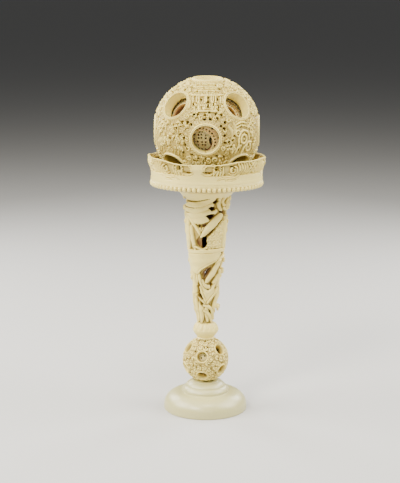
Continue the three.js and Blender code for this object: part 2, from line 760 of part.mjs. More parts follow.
// Each nested shell has sunk in the one round it, and turned a little
const largeBall = new THREE.Group();
largeBall.position.z = ballZ;
const outerShell = piece('ball_outer_shell', ballOuterShell(), ivory(0xddd3b0, 0.45));
outerShell.rotation.set(rad(BALL_TIP), 0, rad(BALL_TURN));
largeBall.add(outerShell);
const nestedShells = [
  {
    name: 'ball_second_shell',
    tip: SECOND_TIP,
    turn: SECOND_TURN,
    radius: secondRadius,
    wall: SECOND_WALL,
    holeRadius: SECOND_HOLE_RADIUS,
    holeSides: 8,
  },
  {
    name: 'ball_third_shell',
    tip: THIRD_TIP,
    turn: THIRD_TURN,
    radius: thirdRadius,
    wall: THIRD_WALL,
    holeRadius: THIRD_HOLE_RADIUS,
    holeSides: 6,
  },
  {
    name: 'ball_innermost_shell',
    tip: INNERMOST_TIP,
    turn: INNERMOST_TURN,
    radius: innermostRadius,
    wall: INNERMOST_WALL,
    holeRadius: INNERMOST_HOLE_RADIUS,
    holeSides: 6,
  },
];
nestedShells.forEach((size, index) => {
  const solid = plainShell({
    ...size,
    directions: allHoleDirections(),
    between: edgeDirections(),
  });
  const shell = piece(size.name, solid, ivory(0xd6bf94, 0.5));
  shell.rotation.set(rad(size.tip), 0, rad(size.turn));
  shell.position.z = -(index + 1) * SHELL_SINK;
  largeBall.add(shell);
});

const puzzleBall = new THREE.Group();
puzzleBall.add(stand, smallBall, largeBall);

export default puzzleBall;
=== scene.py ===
# An ivory puzzle ball on its stand: nested pierced shells in a pierced dish, on an openwork stem,
# a small puzzle ball and a turned foot. Shapes are worked in millimetres and set down in metres.
import math

import bmesh
import bpy
import numpy as np
from mathutils import Matrix, Vector


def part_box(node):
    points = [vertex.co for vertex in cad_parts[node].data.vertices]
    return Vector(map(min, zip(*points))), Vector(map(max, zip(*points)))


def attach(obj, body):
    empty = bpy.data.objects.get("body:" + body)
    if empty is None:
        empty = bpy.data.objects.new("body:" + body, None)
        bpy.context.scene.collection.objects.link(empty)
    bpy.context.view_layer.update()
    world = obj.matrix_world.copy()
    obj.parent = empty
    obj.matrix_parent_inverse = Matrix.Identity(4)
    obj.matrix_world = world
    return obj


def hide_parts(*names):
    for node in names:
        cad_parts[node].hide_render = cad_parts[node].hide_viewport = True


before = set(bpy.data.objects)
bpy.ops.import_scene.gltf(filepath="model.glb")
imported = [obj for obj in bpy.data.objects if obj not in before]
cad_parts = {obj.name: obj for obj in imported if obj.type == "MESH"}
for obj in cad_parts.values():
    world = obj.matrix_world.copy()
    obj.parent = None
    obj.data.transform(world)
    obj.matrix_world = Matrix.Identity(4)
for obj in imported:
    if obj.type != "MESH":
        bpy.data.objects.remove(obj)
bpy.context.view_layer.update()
MM = 0.001
scene = bpy.context.scene
UP = Vector((0, 0, 1))


def node_box(node):
    """A node's lowest and highest corners in millimetres."""
    low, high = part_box(node)
    return Vector(low) / MM, Vector(high) / MM


# Camera: where it stood, in mm and degrees, and how the object sat in the frame
PHOTO_HEIGHT = 483
FOCAL_PIXELS = 1270
SENSOR = 36
CAMERA_DISTANCE = 1163
CAMERA_HEIGHT = 389.4
CAMERA_DOWN = 11.1
CAMERA_ROLL = 0.37
OBJECT_RIGHT_PIXELS = 6.3

# Heights and radii that the frame gives, and the large ball's, which lies in the dish
FOOT_LOW, FOOT_HIGH = node_box("foot")
FOOT_RADIUS = FOOT_HIGH.x
SMALL_LOW, SMALL_HIGH = node_box("small_ball_shell")
SMALL_Z = (SMALL_LOW.z + SMALL_HIGH.z) / 2
SMALL_RADIUS = 22
STEM_TOP = node_box("stem")[1].z
DISH_BASE = node_box("dish")[0].z
BALL_RADIUS = 50
BALL_TIP, BALL_TURN = 4.6, -1.5
DISH_FLOOR = 4.1
CLEARANCE = 0.3
BALL_Z = DISH_BASE + DISH_FLOOR + CLEARANCE + BALL_RADIUS


# Meshes


SHARP_DEGREES = 38


def mesh_from(shape, name="work"):
    mesh = bpy.data.meshes.new(name)
    shape.to_mesh(mesh)
    shape.free()
    return mesh


def points_of(mesh):
    places = np.empty(len(mesh.vertices) * 3)
    mesh.vertices.foreach_get("co", places)
    return places.reshape(-1, 3)


def set_points(mesh, places):
    mesh.vertices.foreach_set("co", np.ascontiguousarray(places).ravel())
    mesh.update()


def combined(body, tool, how):
    """body with tool cut away (DIFFERENCE) or joined on (UNION)."""
    work = [bpy.data.objects.new("work", mesh) for mesh in (body, tool)]
    for thing in work:
        scene.collection.objects.link(thing)
    cut = work[0].modifiers.new("carving", "BOOLEAN")
    cut.operation = how
    cut.solver = "MANIFOLD"
    cut.object = work[1]
    shaped = work[0].evaluated_get(bpy.context.evaluated_depsgraph_get())
    result = bpy.data.meshes.new_from_object(shaped)
    for thing in work:
        mesh = thing.data
        bpy.data.objects.remove(thing)
        bpy.data.meshes.remove(mesh)
    return result


def turned(profile, steps, closed=False):
    """A form of revolution about +Z from [radius, height] pairs."""
    shape = bmesh.new()
    row = [shape.verts.new((radius, 0, height)) for radius, height in profile]
    pairs = list(zip(row, row[1:]))
    if closed:
        pairs.append((row[-1], row[0]))
    edges = [shape.edges.new(pair) for pair in pairs]
    bmesh.ops.spin(
        shape,
        geom=row + edges,
        cent=(0, 0, 0),
        axis=(0, 0, 1),
        angle=math.tau,
        steps=steps,
        use_merge=True,
    )
    bmesh.ops.remove_doubles(shape, verts=shape.verts[:], dist=1e-4)
    bmesh.ops.recalc_face_normals(shape, faces=shape.faces[:])
    return shape


def add_part(shape, part, matrix):
    """Moves one form and adds it to another."""
    bmesh.ops.transform(part, matrix=matrix, verts=part.verts[:])
    mesh = mesh_from(part)
    shape.from_mesh(mesh)
    bpy.data.meshes.remove(mesh)


def smoothstep(low, high, value):
    t = np.clip((value - low) / (high - low), 0, 1)
    return t * t * (3 - 2 * t)


def patina_and_shade_by_depth(depth, *stages):
    """How much patina and painted shade a place gets at a depth in mm: each stage from where, over how many
    mm, by how much.
    """
    hollow = 0
    for start, length, share in stages:
        hollow = hollow + np.clip((depth - start) / length, 0, 1) * share
    return hollow


def set_down(mesh, name, node, material, hollow, seat=Matrix.Identity(4)):
    """Makes the finished piece: stores the patina and painted shade of its hollows, puts it in its place and
    gives it its material.
    """
    # The hollow attribute holds patina and painted shade: more of both the deeper a place lies
    depth = mesh.attributes.new("hollow", "FLOAT", "POINT")
    depth.data.foreach_set("value", np.clip(hollow, 0, 1).astype(np.float32))
    mesh.transform(Matrix.Scale(MM, 4) @ seat)
    mesh.name = name
    mesh.shade_smooth()
    mesh.set_sharp_from_angle(angle=math.radians(SHARP_DEGREES))
    mesh.materials.clear()
    mesh.materials.append(material)
    piece = bpy.data.objects.new(name, mesh)
    scene.collection.objects.link(piece)
    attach(piece, "root")
    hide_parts(node)


# Camera, floor and light


# Name, place, the height it points at, size in m, power in W and color
LAMPS = [
    ("key", (-0.6, -0.85, 1.1), 0.22, 0.4, 19, (1, 0.96, 0.86)),
    ("top", (0.1, -0.35, 1.3), 0.3, 0.4, 8, (1, 0.97, 0.9)),
    ("front left", (-0.3, -1.25, 0.55), 0.2, 0.2, 2.6, (1, 0.97, 0.88)),
    ("front right", (0.3, -1.25, 0.55), 0.2, 0.2, 2.2, (1, 0.97, 0.88)),
    ("left side", (-0.9, -0.05, 0.85), 0.1, 0.9, 25, (1, 0.98, 0.92)),
    ("right side", (0.9, -0.05, 0.85), 0.1, 0.9, 21, (1, 0.98, 0.92)),
    ("back left", (-0.6, 0.7, 0.6), 0.2, 0.4, 7, (1, 0.99, 0.97)),
    ("back right", (0.6, 0.7, 0.6), 0.2, 0.4, 7, (1, 0.99, 0.97)),
]


def photographer():
    lens = bpy.data.cameras.new("camera")
    lens.sensor_width = SENSOR
    lens.sensor_height = SENSOR
    lens.sensor_fit = "AUTO"
    lens.lens = FOCAL_PIXELS / PHOTO_HEIGHT * SENSOR
    lens.shift_x = -OBJECT_RIGHT_PIXELS / PHOTO_HEIGHT
    lens.dof.use_dof = False
    camera = bpy.data.objects.new("camera", lens)
    camera.location = (0, -CAMERA_DISTANCE * MM, CAMERA_HEIGHT * MM)
    aim = Matrix.Rotation(math.radians(90 - CAMERA_DOWN), 3, "X")
    camera.rotation_euler = (aim @ Matrix.Rotation(math.radians(CAMERA_ROLL), 3, "Z")).to_euler()
    scene.collection.objects.link(camera)
    scene.camera = camera


def lamp(name, place, target_height, size, power, color):
    light = bpy.data.lights.new(name, "AREA")
    light.shape = "DISK"
    light.size = size
    light.energy = power
    light.color = color
    holder = bpy.data.objects.new(name, light)
    holder.location = place
    aim = Vector((0, 0, target_height)) - Vector(place)
    holder.rotation_euler = aim.to_track_quat("-Z", "Y").to_euler()
    scene.collection.objects.link(holder)


def studio():
    shape = bmesh.new()
    bmesh.ops.create_grid(shape, x_segments=8, y_segments=8, size=80)
    floor = bpy.data.objects.new("floor", mesh_from(shape, "floor"))
    paper = bpy.data.materials.new("pale paper")
    paper.use_nodes = True
    sheet = paper.node_tree.nodes["Principled BSDF"]
    sheet.inputs["Base Color"].default_value = (0.56, 0.55, 0.53, 1)
    sheet.inputs["Roughness"].default_value = 0.8
    floor.data.materials.append(paper)
    scene.collection.objects.link(floor)
    world = bpy.data.worlds.new("studio")
    world.use_nodes = True
    backdrop = world.node_tree.nodes["Background"]
    backdrop.inputs["Color"].default_value = (0.66, 0.67, 0.68, 1)
    backdrop.inputs["Strength"].default_value = 0.13
    scene.world = world
    for facts in LAMPS:
        lamp(*facts)


photographer()
studio()


# Finishes


def nodes_of(tree):
    def add(kind, **values):
        node = tree.nodes.new(kind)
        for key, value in values.items():
            setattr(node, key, value)
        return node

    def join(source, target):
        tree.links.new(source, target)

    return add, join


def ivory_surface():
    """Group: ivory's colour, with patina and painted shade by how hollow the place is, and faint grain and
    patches.
    """
    group = bpy.data.node_groups.new("ivory surface", "ShaderNodeTree")
    face = group.interface
    for name in ("Pale", "Warm", "Deep"):
        face.new_socket(name, in_out="INPUT", socket_type="NodeSocketColor")
    for name in ("Hollow", "Grain", "Gloss"):
        face.new_socket(name, in_out="INPUT", socket_type="NodeSocketFloat")
    face.new_socket("Color", in_out="OUTPUT", socket_type="NodeSocketColor")
    face.new_socket("Roughness", in_out="OUTPUT", socket_type="NodeSocketFloat")
    face.new_socket("Height", in_out="OUTPUT", socket_type="NodeSocketFloat")
    add, join = nodes_of(group)
    given = add("NodeGroupInput")
    result = add("NodeGroupOutput")
    place = add("ShaderNodeTexCoord").outputs["Object"]

    def noise(vector, scale, detail):
        node = add("ShaderNodeTexNoise")
        node.inputs["Scale"].default_value = scale
        node.inputs["Detail"].default_value = detail
        join(vector, node.inputs["Vector"])
        return node.outputs["Fac"]

    def ramp(value, low, high):
        node = add("ShaderNodeMapRange", interpolation_type="SMOOTHSTEP")
        node.inputs["From Min"].default_value = low
        node.inputs["From Max"].default_value = high
        join(value, node.inputs["Value"])
        return node.outputs["Result"]

    def math_node(kind, first, second, clamp=False):
        node = add("ShaderNodeMath", operation=kind, use_clamp=clamp)
        for socket, value in zip(node.inputs, (first, second)):
            if isinstance(value, (int, float)):
                socket.default_value = value
            else:
                join(value, socket)
        return node.outputs["Value"]

    def mixed(factor, first, second):
        node = add("ShaderNodeMix", data_type="RGBA")
        join(factor, node.inputs["Factor"])
        for socket, value in ((node.inputs["A"], first), (node.inputs["B"], second)):
            if isinstance(value, tuple):
                socket.default_value = value
            else:
                join(value, socket)
        return node.outputs["Result"]

    hollow = given.outputs["Hollow"]
    stretch = add("ShaderNodeMapping")
    stretch.inputs["Scale"].default_value = (900, 900, 70)
    join(place, stretch.inputs["Vector"])
    patches = noise(place, 38, 3)
    lines = noise(stretch.outputs["Vector"], 1, 2)
    specks = noise(place, 900, 2)
    blotch = math_node("MULTIPLY", math_node("SUBTRACT", patches, 0.5), 0.35)
    # Patina and painted shade: warmer and browner the deeper the place, over random patches
    patina_and_shade = ramp(math_node("ADD", hollow, blotch), 0.04, 0.42)
    color = mixed(patina_and_shade, given.outputs["Pale"], given.outputs["Warm"])
    # Painted shade: the deepest places go on towards a near-black brown
    color = mixed(ramp(hollow, 0.4, 0.95), color, given.outputs["Deep"])
    shade = math_node("MULTIPLY", math_node("SUBTRACT", lines, 0.5), given.outputs["Grain"])
    color = mixed(math_node("ABSOLUTE", shade, 0), color, (0.45, 0.33, 0.17, 1))
    join(color, result.inputs["Color"])
    rough = math_node("ADD", math_node("MULTIPLY", specks, 0.1), math_node("MULTIPLY", hollow, 0.25))
    join(math_node("ADD", given.outputs["Gloss"], rough, True), result.inputs["Roughness"])
    join(math_node("ADD", specks, lines), result.inputs["Height"])
    return group


IVORY_SURFACE = ivory_surface()


def ivory(name, slot, pale, patina_and_shade, painted_shade, gloss, grain, bump, glow, coat, shine):
    material = bpy.data.materials.new(name)
    material.use_nodes = True
    tree = material.node_tree
    add, join = nodes_of(tree)
    shader = tree.nodes["Principled BSDF"]
    surface = add("ShaderNodeGroup", node_tree=IVORY_SURFACE)
    for socket, value in (("Pale", pale), ("Warm", patina_and_shade), ("Deep", painted_shade)):
        surface.inputs[socket].default_value = (*value, 1)
    surface.inputs["Gloss"].default_value = gloss
    surface.inputs["Grain"].default_value = grain
    # How much patina and painted shade each place takes
    hollow = add("ShaderNodeAttribute", attribute_name="hollow")
    join(hollow.outputs["Fac"], surface.inputs["Hollow"])
    join(surface.outputs["Color"], shader.inputs["Base Color"])
    join(surface.outputs["Roughness"], shader.inputs["Roughness"])
    relief = add("ShaderNodeBump")
    relief.inputs["Strength"].default_value = bump
    relief.inputs["Distance"].default_value = 0.0002
    join(surface.outputs["Height"], relief.inputs["Height"])
    join(relief.outputs["Normal"], shader.inputs["Normal"])
    shader.inputs["IOR"].default_value = 1.54
    shader.inputs["Specular IOR Level"].default_value = shine
    shader.inputs["Subsurface Weight"].default_value = glow
    shader.inputs["Subsurface Radius"].default_value = (1, 0.62, 0.3)
    shader.inputs["Subsurface Scale"].default_value = 0.0016
    shader.inputs["Coat Weight"].default_value = coat
    shader.inputs["Coat Roughness"].default_value = 0.3
    material["slot"] = slot
    return material


CARVED = ivory(
    "carved ivory", "carved_ivory",
    pale=(0.86, 0.715, 0.22), patina_and_shade=(0.41, 0.30, 0.06), painted_shade=(0.12, 0.04, 0.006),
    gloss=0.34, grain=0.5, bump=0.25, glow=0.06, coat=0.04, shine=0.35,
)
# A darker copy of the ivory for the foot: its base colour is painted shade for the dark reflection in the
# dome; its coat and gloss are the real polish
POLISHED_PAINTED_DARKER = ivory(
    "polished ivory painted darker", "polished_ivory",
    pale=(0.57, 0.525, 0.225), patina_and_shade=(0.34, 0.285, 0.105), painted_shade=(0.25, 0.13, 0.04),
    gloss=0.36, grain=0.5, bump=0.06, glow=0.08, coat=0.4, shine=0.75,
)
# A lighter copy of the ivory for the inner shells and the small core: its paler colour is painted light for
# the light that reaches inside the balls
INNER_PAINTED_LIGHTER = ivory(
    "inner ivory painted lighter", "inner_ivory",
    pale=(0.9, 0.76, 0.32), patina_and_shade=(0.46, 0.26, 0.10), painted_shade=(0.09, 0.025, 0.006),
    gloss=0.42, grain=0.4, bump=0.3, glow=0.16, coat=0.04, shine=0.3,
)


# Foot: dome, stepped disc, and the cup that holds the small ball


FOOT_COLUMNS = 144


def make_foot():
    low = FOOT_LOW.z
    dome_top = 17.3
    disc = 22.9
    edge_height, rounding = 4.5, 0.6
    seat = SMALL_RADIUS + CLEARANCE
    profile = [(0, low), (FOOT_RADIUS - rounding, low), (FOOT_RADIUS, rounding)]
    dome_steps = 22
    for i in range(dome_steps + 1):
        turn = math.pi / 2 * i / dome_steps
        profile.append((
            disc + (FOOT_RADIUS - disc) * math.cos(turn),
            edge_height + (dome_top - edge_height) * math.sin(turn),
        ))
    profile += [
        (22.5, 17.45), (22.3, 17.8), (22.35, 18.4), (22.2, 19), (21.7, 19.9), (21, 20.8),
        (20.2, 21.6), (19.4, 22.2), (18.9, 22.45), (18.6, 22.6), (18.5, 22.9), (18.3, 23.4),
        (17.6, 24.3), (16.7, 25.1), (15.6, 25.9), (14.5, 26.5), (13.7, 26.85), (13.3, 26.95),
        (13.1, 27.25), (12.7, 27.5), (12, 27.65), (11.2, 27.8),
    ]
    cup_lip, cup_steps = 10.2, 8
    for i in range(cup_steps + 1):
        radius = cup_lip * (1 - i / cup_steps)
        profile.append((radius, SMALL_Z - math.sqrt(seat ** 2 - radius ** 2)))
    mesh = mesh_from(turned(profile, FOOT_COLUMNS))
    places = points_of(mesh)
    away = np.hypot(places[:, 0], places[:, 1])
    # Painted shade: darker in the creases at the disc's steps and rising up the cup towards the small ball
    painted_crease_shade = 0.6 * np.exp(-((places[:, 2] - 17.6) / 0.5) ** 2) * (away < disc + 0.4)
    painted_crease_shade += 0.6 * np.exp(-((places[:, 2] - 22.7) / 0.5) ** 2)
    painted_crease_shade += smoothstep(22.6, 27.8, places[:, 2]) * 0.5
    set_down(mesh, "turned_foot", "foot", POLISHED_PAINTED_DARKER, painted_crease_shade * 0.32)


# Directions on a ball


FACES = [Vector(axis) for axis in ((0, -1, 0), (0, 1, 0), (1, 0, 0), (-1, 0, 0), (0, 0, 1), (0, 0, -1))]
CORNERS = [Vector((x, y, z)).normalized() for x in (-1, 1) for y in (-1, 1) for z in (-1, 1)]
HOLES = FACES + CORNERS
GOLDEN_TURN = math.pi * (3 - math.sqrt(5))
PIERCING_TAPER = 0.7


def as_rows(vectors):
    return np.array([tuple(vector) for vector in vectors])


def unit_rows(rows):
    return rows / np.linalg.norm(rows, axis=1)[:, None]


def even_directions(count):
    """Directions spread evenly over a ball."""
    i = np.arange(count) + 0.5
    height = 1 - 2 * i / count
    reach = np.sqrt(1 - height ** 2)
    return np.stack([reach * np.cos(i * GOLDEN_TURN), reach * np.sin(i * GOLDEN_TURN), height], axis=1)


def towards(direction):
    """The turn that takes +Z to a direction."""
    return UP.rotation_difference(Vector(direction)).to_matrix().to_4x4()


def rings_round(holes, angle, count):
    """Directions in a ring about each hole."""
    reach = math.sin(angle)
    found = []
    for hole in holes:
        swing = towards(hole).to_3x3()
        for i in range(count):
            turn = math.tau * i / count
            found.append(tuple(
                swing @ Vector((reach * math.cos(turn), reach * math.sin(turn), math.cos(angle)))
            ))
    return found


def clear_of(holes, directions, radius, reach):
    """Those of the directions that are further than reach in mm from every hole's axis."""
    nearest = np.max(directions @ as_rows(holes).T, axis=1)
    return directions[nearest < math.cos(math.asin(reach / radius))]


def off_axis(holes, places):
    """Distance in mm of each place from the axis of the nearest hole."""
    distance = np.linalg.norm(places, axis=1)
    nearest = np.max(places @ as_rows(holes).T, axis=1)
    return np.sqrt(np.clip(distance ** 2 - nearest ** 2, 0, None))


def spaced(candidates, gap, taken=()):
    """Those taken, and the candidates that keep their distance from all before them."""
    kept = [np.array(place) for place in taken]
    limit = math.cos(gap)
    for place in candidates:
        if not kept or np.max(np.stack(kept) @ np.array(place)) < limit:
            kept.append(np.array(place))
    return np.stack(kept)


def dense_ball(cuts, pull):
    """A ball of squares, from a cube, and its directions drawn together on the side that is seen."""
    shape = bmesh.new()
    bmesh.ops.create_cube(shape, size=2)
    bmesh.ops.subdivide_edges(shape, edges=shape.edges[:], cuts=cuts, use_grid_fill=True)
    mesh = mesh_from(shape)
    even = unit_rows(np.tan(points_of(mesh) * math.pi / 4))
    return mesh, unit_rows(even + pull)


def plain_ball(radius, finer):
    shape = bmesh.new()
    bmesh.ops.create_icosphere(shape, subdivisions=finer, radius=radius)
    return mesh_from(shape)


def drilled(shell, directions, sizes, inner, outer, sides):
    """The shell with a piercing in each direction: its width, height and turn, narrower inside."""
    drill = bmesh.new()
    middle = (inner + outer) / 2
    for direction, (width, height, spin) in zip(directions, sizes):
        place = towards(direction) @ Matrix.Rotation(spin, 4, "Z") @ Matrix.Translation((0, 0, middle))
        bmesh.ops.create_cone(
            drill,
            cap_ends=True,
            segments=sides,
            radius1=0.5 * PIERCING_TAPER,
            radius2=0.5,
            depth=outer - inner,
            matrix=place @ Matrix.Diagonal((width, height, 1, 1)),
        )
    return combined(shell, mesh_from(drill), "DIFFERENCE")


def uneven_sizes(random, places, wide, tall):
    """A width and a height between limits, and any turn, for each place."""
    return [
        (random.uniform(*wide), random.uniform(*tall), random.uniform(0, math.tau)) for _ in places
    ]


def with_holes(shell, directions, mouth, distance, taper, inner, outer, sides):
    """The shell with round funnels cut in it, as wide as the mouth at a distance from the middle."""
    shape = bmesh.new()
    for direction in directions:
        bmesh.ops.create_cone(
            shape,
            cap_ends=True,
            segments=sides,
            radius1=mouth - (distance - inner) * taper,
            radius2=mouth + (outer - distance) * taper,
            depth=outer - inner,
            matrix=towards(direction) @ Matrix.Translation((0, 0, (inner + outer) / 2)),
        )
    return combined(shell, mesh_from(shape), "DIFFERENCE")


def holed_ball(radius, wall, hole, directions, finer, spare, sides):
    """A smooth shell with its main holes, cones that meet in its middle."""
    shell = combined(plain_ball(radius, finer), plain_ball(radius - wall, finer - 1), "DIFFERENCE")
    distance = math.sqrt(radius ** 2 - hole ** 2)
    inner, outer = radius - wall - spare, radius + spare
    return with_holes(shell, directions, hole, distance, hole / distance, inner, outer, sides)


# Carving on turned surfaces, stroke by stroke, by degrees from the front and height


def wrapped(degrees):
    return (degrees + 180) % 360 - 180


def curve_through(route):
    """A smooth curve through [degrees, height] places."""
    steps = 8
    fixed = [np.array(place, dtype=float) for place in route]
    fixed = [2 * fixed[0] - fixed[1], *fixed, 2 * fixed[-1] - fixed[-2]]
    curve = []
    for a, b, c, d in zip(fixed, fixed[1:], fixed[2:], fixed[3:]):
        for i in range(steps):
            t = i / steps
            curve.append(0.5 * (
                2 * b + (c - a) * t + (2 * a - 5 * b + 4 * c - d) * t ** 2
                + (3 * b - a - 3 * c + d) * t ** 3
            ))
    curve.append(fixed[-2])
    return curve


def in_outline(degrees, heights, outline):
    """Whether each place is inside an outline of [degrees, height] corners."""
    middle = np.mean([place[0] for place in outline])
    x = wrapped(degrees - middle)
    inside = np.zeros(len(x), dtype=bool)
    for (a, low), (b, high) in zip(outline, [*outline[1:], outline[0]]):
        crosses = (low > heights) != (high > heights)
        if low != high:
            inside ^= crosses & (x < (b - a) * (heights - low) / (high - low) + a - middle)
    return inside


BEADS_RADIUS = 15


class Carving:
    """Heights in mm over a turned surface; each stroke lies over those before it."""

    def __init__(self, degrees, heights, radii, ground):
        self.degrees = degrees
        self.heights = heights
        self.scale = np.radians(1) * radii
        self.level = np.full(len(degrees), float(ground))

    def near(self, route, margin):
        middle = (min(p[0] for p in route) + max(p[0] for p in route)) / 2
        reach = (max(p[0] for p in route) - min(p[0] for p in route)) / 2
        low = min(p[1] for p in route) - margin
        high = max(p[1] for p in route) + margin
        part = np.abs(wrapped(self.degrees - middle)) < reach + margin / self.scale
        return np.nonzero(part & (self.heights > low) & (self.heights < high))[0]

    def from_route(self, route, part):
        """Distance in mm from a route, share of the way along it, and the side, -1 or 1."""
        best = np.full(len(part), 1e9)
        along = np.zeros(len(part))
        side = np.ones(len(part))
        scale = self.scale[part]
        curve = curve_through(route)
        for i, (a, b) in enumerate(zip(curve, curve[1:])):
            x = wrapped(self.degrees[part] - a[0]) * scale
            y = self.heights[part] - a[1]
            across = (b[0] - a[0]) * scale
            up = b[1] - a[1]
            t = np.clip((x * across + y * up) / (across ** 2 + up ** 2 + 1e-9), 0, 1)
            distance = np.hypot(x - t * across, y - t * up)
            closer = distance < best
            best = np.where(closer, distance, best)
            along = np.where(closer, (i + t) / (len(curve) - 1), along)
            side = np.where(closer, np.sign(across * y - up * x), side)
        return best, along, side

    def stroke(self, route, width, top, form="cord", rise=1.2, ends=0.45, groove=0.7, beads=0):
        """A cord, a strap with raised edges, or a fold that drops steeply on its left.

        Its edges lie below its top by the rise, in a groove. Beads are their length in mm.
        """
        part = self.near(route, width + 1.5)
        if not len(part):
            return
        distance, along, side = self.from_route(route, part)
        half = width / 2 * (ends + (1 - ends) * np.sqrt(np.sin(np.pi * np.clip(along, 0.02, 0.98))))
        s = distance / half
        level = self.level[part]
        level = level - groove * np.exp(-((distance - half) / 0.4) ** 2) * (s >= 1)
        inside = s < 1
        s = np.clip(s, 0, 1)
        if form == "strap":
            shape = top - rise * (1 - (1 - s ** 6) ** 0.5) + 0.22 * np.exp(-((s - 0.8) / 0.09) ** 2)
        elif form == "fold":
            lean = 0.5 + 0.5 * side * s
            shape = top - rise * (1 - lean ** 0.7) * 0.9 - rise * smoothstep(0.93, 1, lean)
        else:
            shape = top - rise * (1 - np.sqrt(1 - s ** 2))
        if beads:
            length = np.hypot(*np.ptp(np.array(route) * [np.radians(1) * BEADS_RADIUS, 1], axis=0))
            shape = shape - 0.5 * (1 - np.abs(np.sin(np.pi * along * length / beads)))
        self.level[part] = np.where(inside, shape, level)

    def groove(self, route, width, depth):
        part = self.near(route, width + 1)
        distance, along, _ = self.from_route(route, part)
        fade = np.sqrt(np.sin(np.pi * np.clip(along, 0.05, 0.95)))
        self.level[part] -= depth * fade * np.exp(-(distance / (width / 2)) ** 2)

    def panel(self, outline, top, texture=None):
        """A level place with an outline, and a texture over it."""
        inside = np.nonzero(in_outline(self.degrees, self.heights, outline))[0]
        level = np.full(len(inside), float(top))
        if texture:
            x = self.degrees[inside] * self.scale[inside]
            level += texture(x, self.heights[inside])
        self.level[inside] = level


# A stroke is its form, its route, its width and its top in mm, and what else it has


def cord(route, width, top, **more):
    return "cord", route, width, top, more


def strap(route, width, top, **more):
    return "strap", route, width, top, more


def fold(route, width, top, **more):
    return "fold", route, width, top, more


# Textures of level places, from mm across and up


def upright_lines(x, z):
    return -0.2 * (0.5 + 0.5 * np.cos(math.tau * x / 1.6))


def rough_leaves(x, z):
    """Small crossing leaves, no two rows alike."""
    level = np.zeros(len(x))
    for i in range(3):
        lean = 0.5 - 0.6 * i
        u = (x + lean * z + 1.3 * i) / 2.1 + 0.35 * np.sin(z * 0.9 + i)
        v = (z + 0.5 * np.sin(x * 1.1 + 2 * i)) / 2.7
        bump = np.clip(np.sin(math.pi * u) * np.sin(math.pi * v), 0, 1) ** 0.6
        level = np.maximum(level, bump * (1.3 - 0.3 * i))
    return level - 0.4


# Scrollwork that covers a ball between its holes


BATCH = 20000


class Scrollwork:
    """Curled clouds and leaves carved over a ball, each cell a volute of its own."""

    def __init__(self, holes, radius, collar, spacing, pitch, depth, seed):
        self.holes = as_rows(holes)
        self.radius = radius
        self.collar = collar
        self.pitch = pitch
        self.depth = depth
        random = np.random.default_rng(seed)
        gap = spacing / radius
        # A ring of cells close round each hole, and the rest wherever they find room
        ring_angle = math.asin((collar + spacing * 0.62) / radius)
        ring_count = round(math.tau * math.sin(ring_angle) / gap)
        spread = even_directions(round(4 * math.pi / gap ** 2 * 2.2))
        spread = unit_rows(spread + random.normal(size=spread.shape) * gap * 0.12)
        spread = spread[random.permutation(len(spread))]
        clear = self.from_hole(spread) > collar + spacing * 0.55
        rings = rings_round(holes, ring_angle, ring_count)
        self.centres = spaced([*rings, *spread[clear]], gap * 0.82)
        self.hands = random.choice([-1, 1], size=len(self.centres))
        self.starts = random.uniform(0, math.tau, size=len(self.centres))
        self.arms = random.choice([1, 1, 2, 3], size=len(self.centres))

    def from_hole(self, directions):
        """Distance in mm of each direction from the axis of the nearest hole."""
        nearest = np.max(directions @ self.holes.T, axis=1)
        away = self.radius * np.sqrt(np.clip(1 - nearest ** 2, 0, 1))
        return np.where(nearest > 0, away, self.radius)

    def distances(self, directions):
        """The nearest centre's index and the distances in mm to the nearest three."""
        near = np.empty(len(directions), dtype=int)
        ranked = np.empty((len(directions), 3))
        for start in range(0, len(directions), BATCH):
            part = slice(start, start + BATCH)
            cosines = directions[part] @ self.centres.T
            near[part] = np.argmax(cosines, axis=1)
            best = -np.sort(np.partition(-cosines, 3, axis=1)[:, :3], axis=1)
            ranked[part] = np.arccos(np.clip(best, -1, 1)) * self.radius
        return near, ranked

    def height(self, directions):
        """Height of the carving over its ground, from 0 to its depth, in mm."""
        near, ranked = self.distances(directions)
        centre = self.centres[near]
        east = unit_rows(np.cross(np.array([0.13, 0.21, 1.0]), centre))
        north = np.cross(centre, east)
        a = np.sum(directions * east, axis=1)
        b = np.sum(directions * north, axis=1)
        around = np.arctan2(b, a)
        reach = ranked[:, 0]
        sweep = self.hands[near] * self.arms[near] * around + self.starts[near]
        curl = 0.5 + 0.5 * np.cos(math.tau * reach / self.pitch - sweep)
        border = np.clip((ranked[:, 1] - ranked[:, 0]) / (0.45 * self.pitch), 0, 1)
        dome = 1 - 0.35 * np.clip(reach / (2 * self.pitch), 0, 1)
        return self.depth * np.sqrt(border) * (0.35 + 0.65 * curl ** 0.7) * dome

    def piercings(self, count, gap, margin):
        """Directions where cells meet, the deepest places, spread over the ball."""
        spread = even_directions(6000)
        spread = spread[self.from_hole(spread) > self.collar + margin]
        ranked = self.distances(spread)[1]
        order = np.argsort(ranked[:, 2] - ranked[:, 0])
        return spaced(spread[order], gap / self.radius)[:count]


def collar_profile(mouth, distance, taper, inner, rim):
    """The section of a hole's lining: its funnel, and two rings round its mouth."""
    def funnel(height):
        return mouth - (distance - height) * taper

    width = rim - mouth
    return [
        (funnel(inner - 0.15), inner - 0.15),
        (funnel((inner + distance) / 2), (inner + distance) / 2),
        (funnel(distance - 0.6), distance - 0.6),
        (mouth - 0.02 * width, distance - 0.15),
        (mouth + 0.10 * width, distance + 0.08),
        (mouth + 0.26 * width, distance + 0.14),
        (mouth + 0.40 * width, distance - 0.04),
        (mouth + 0.46 * width, distance - 0.36),
        (mouth + 0.54 * width, distance - 0.36),
        (mouth + 0.60 * width, distance - 0.10),
        (mouth + 0.76 * width, distance - 0.02),
        (mouth + 0.92 * width, distance - 0.30),
        (rim, distance - 0.75),
        (rim, distance - 2.6),
        (funnel(inner) + 1.2, inner - 0.15),
    ]


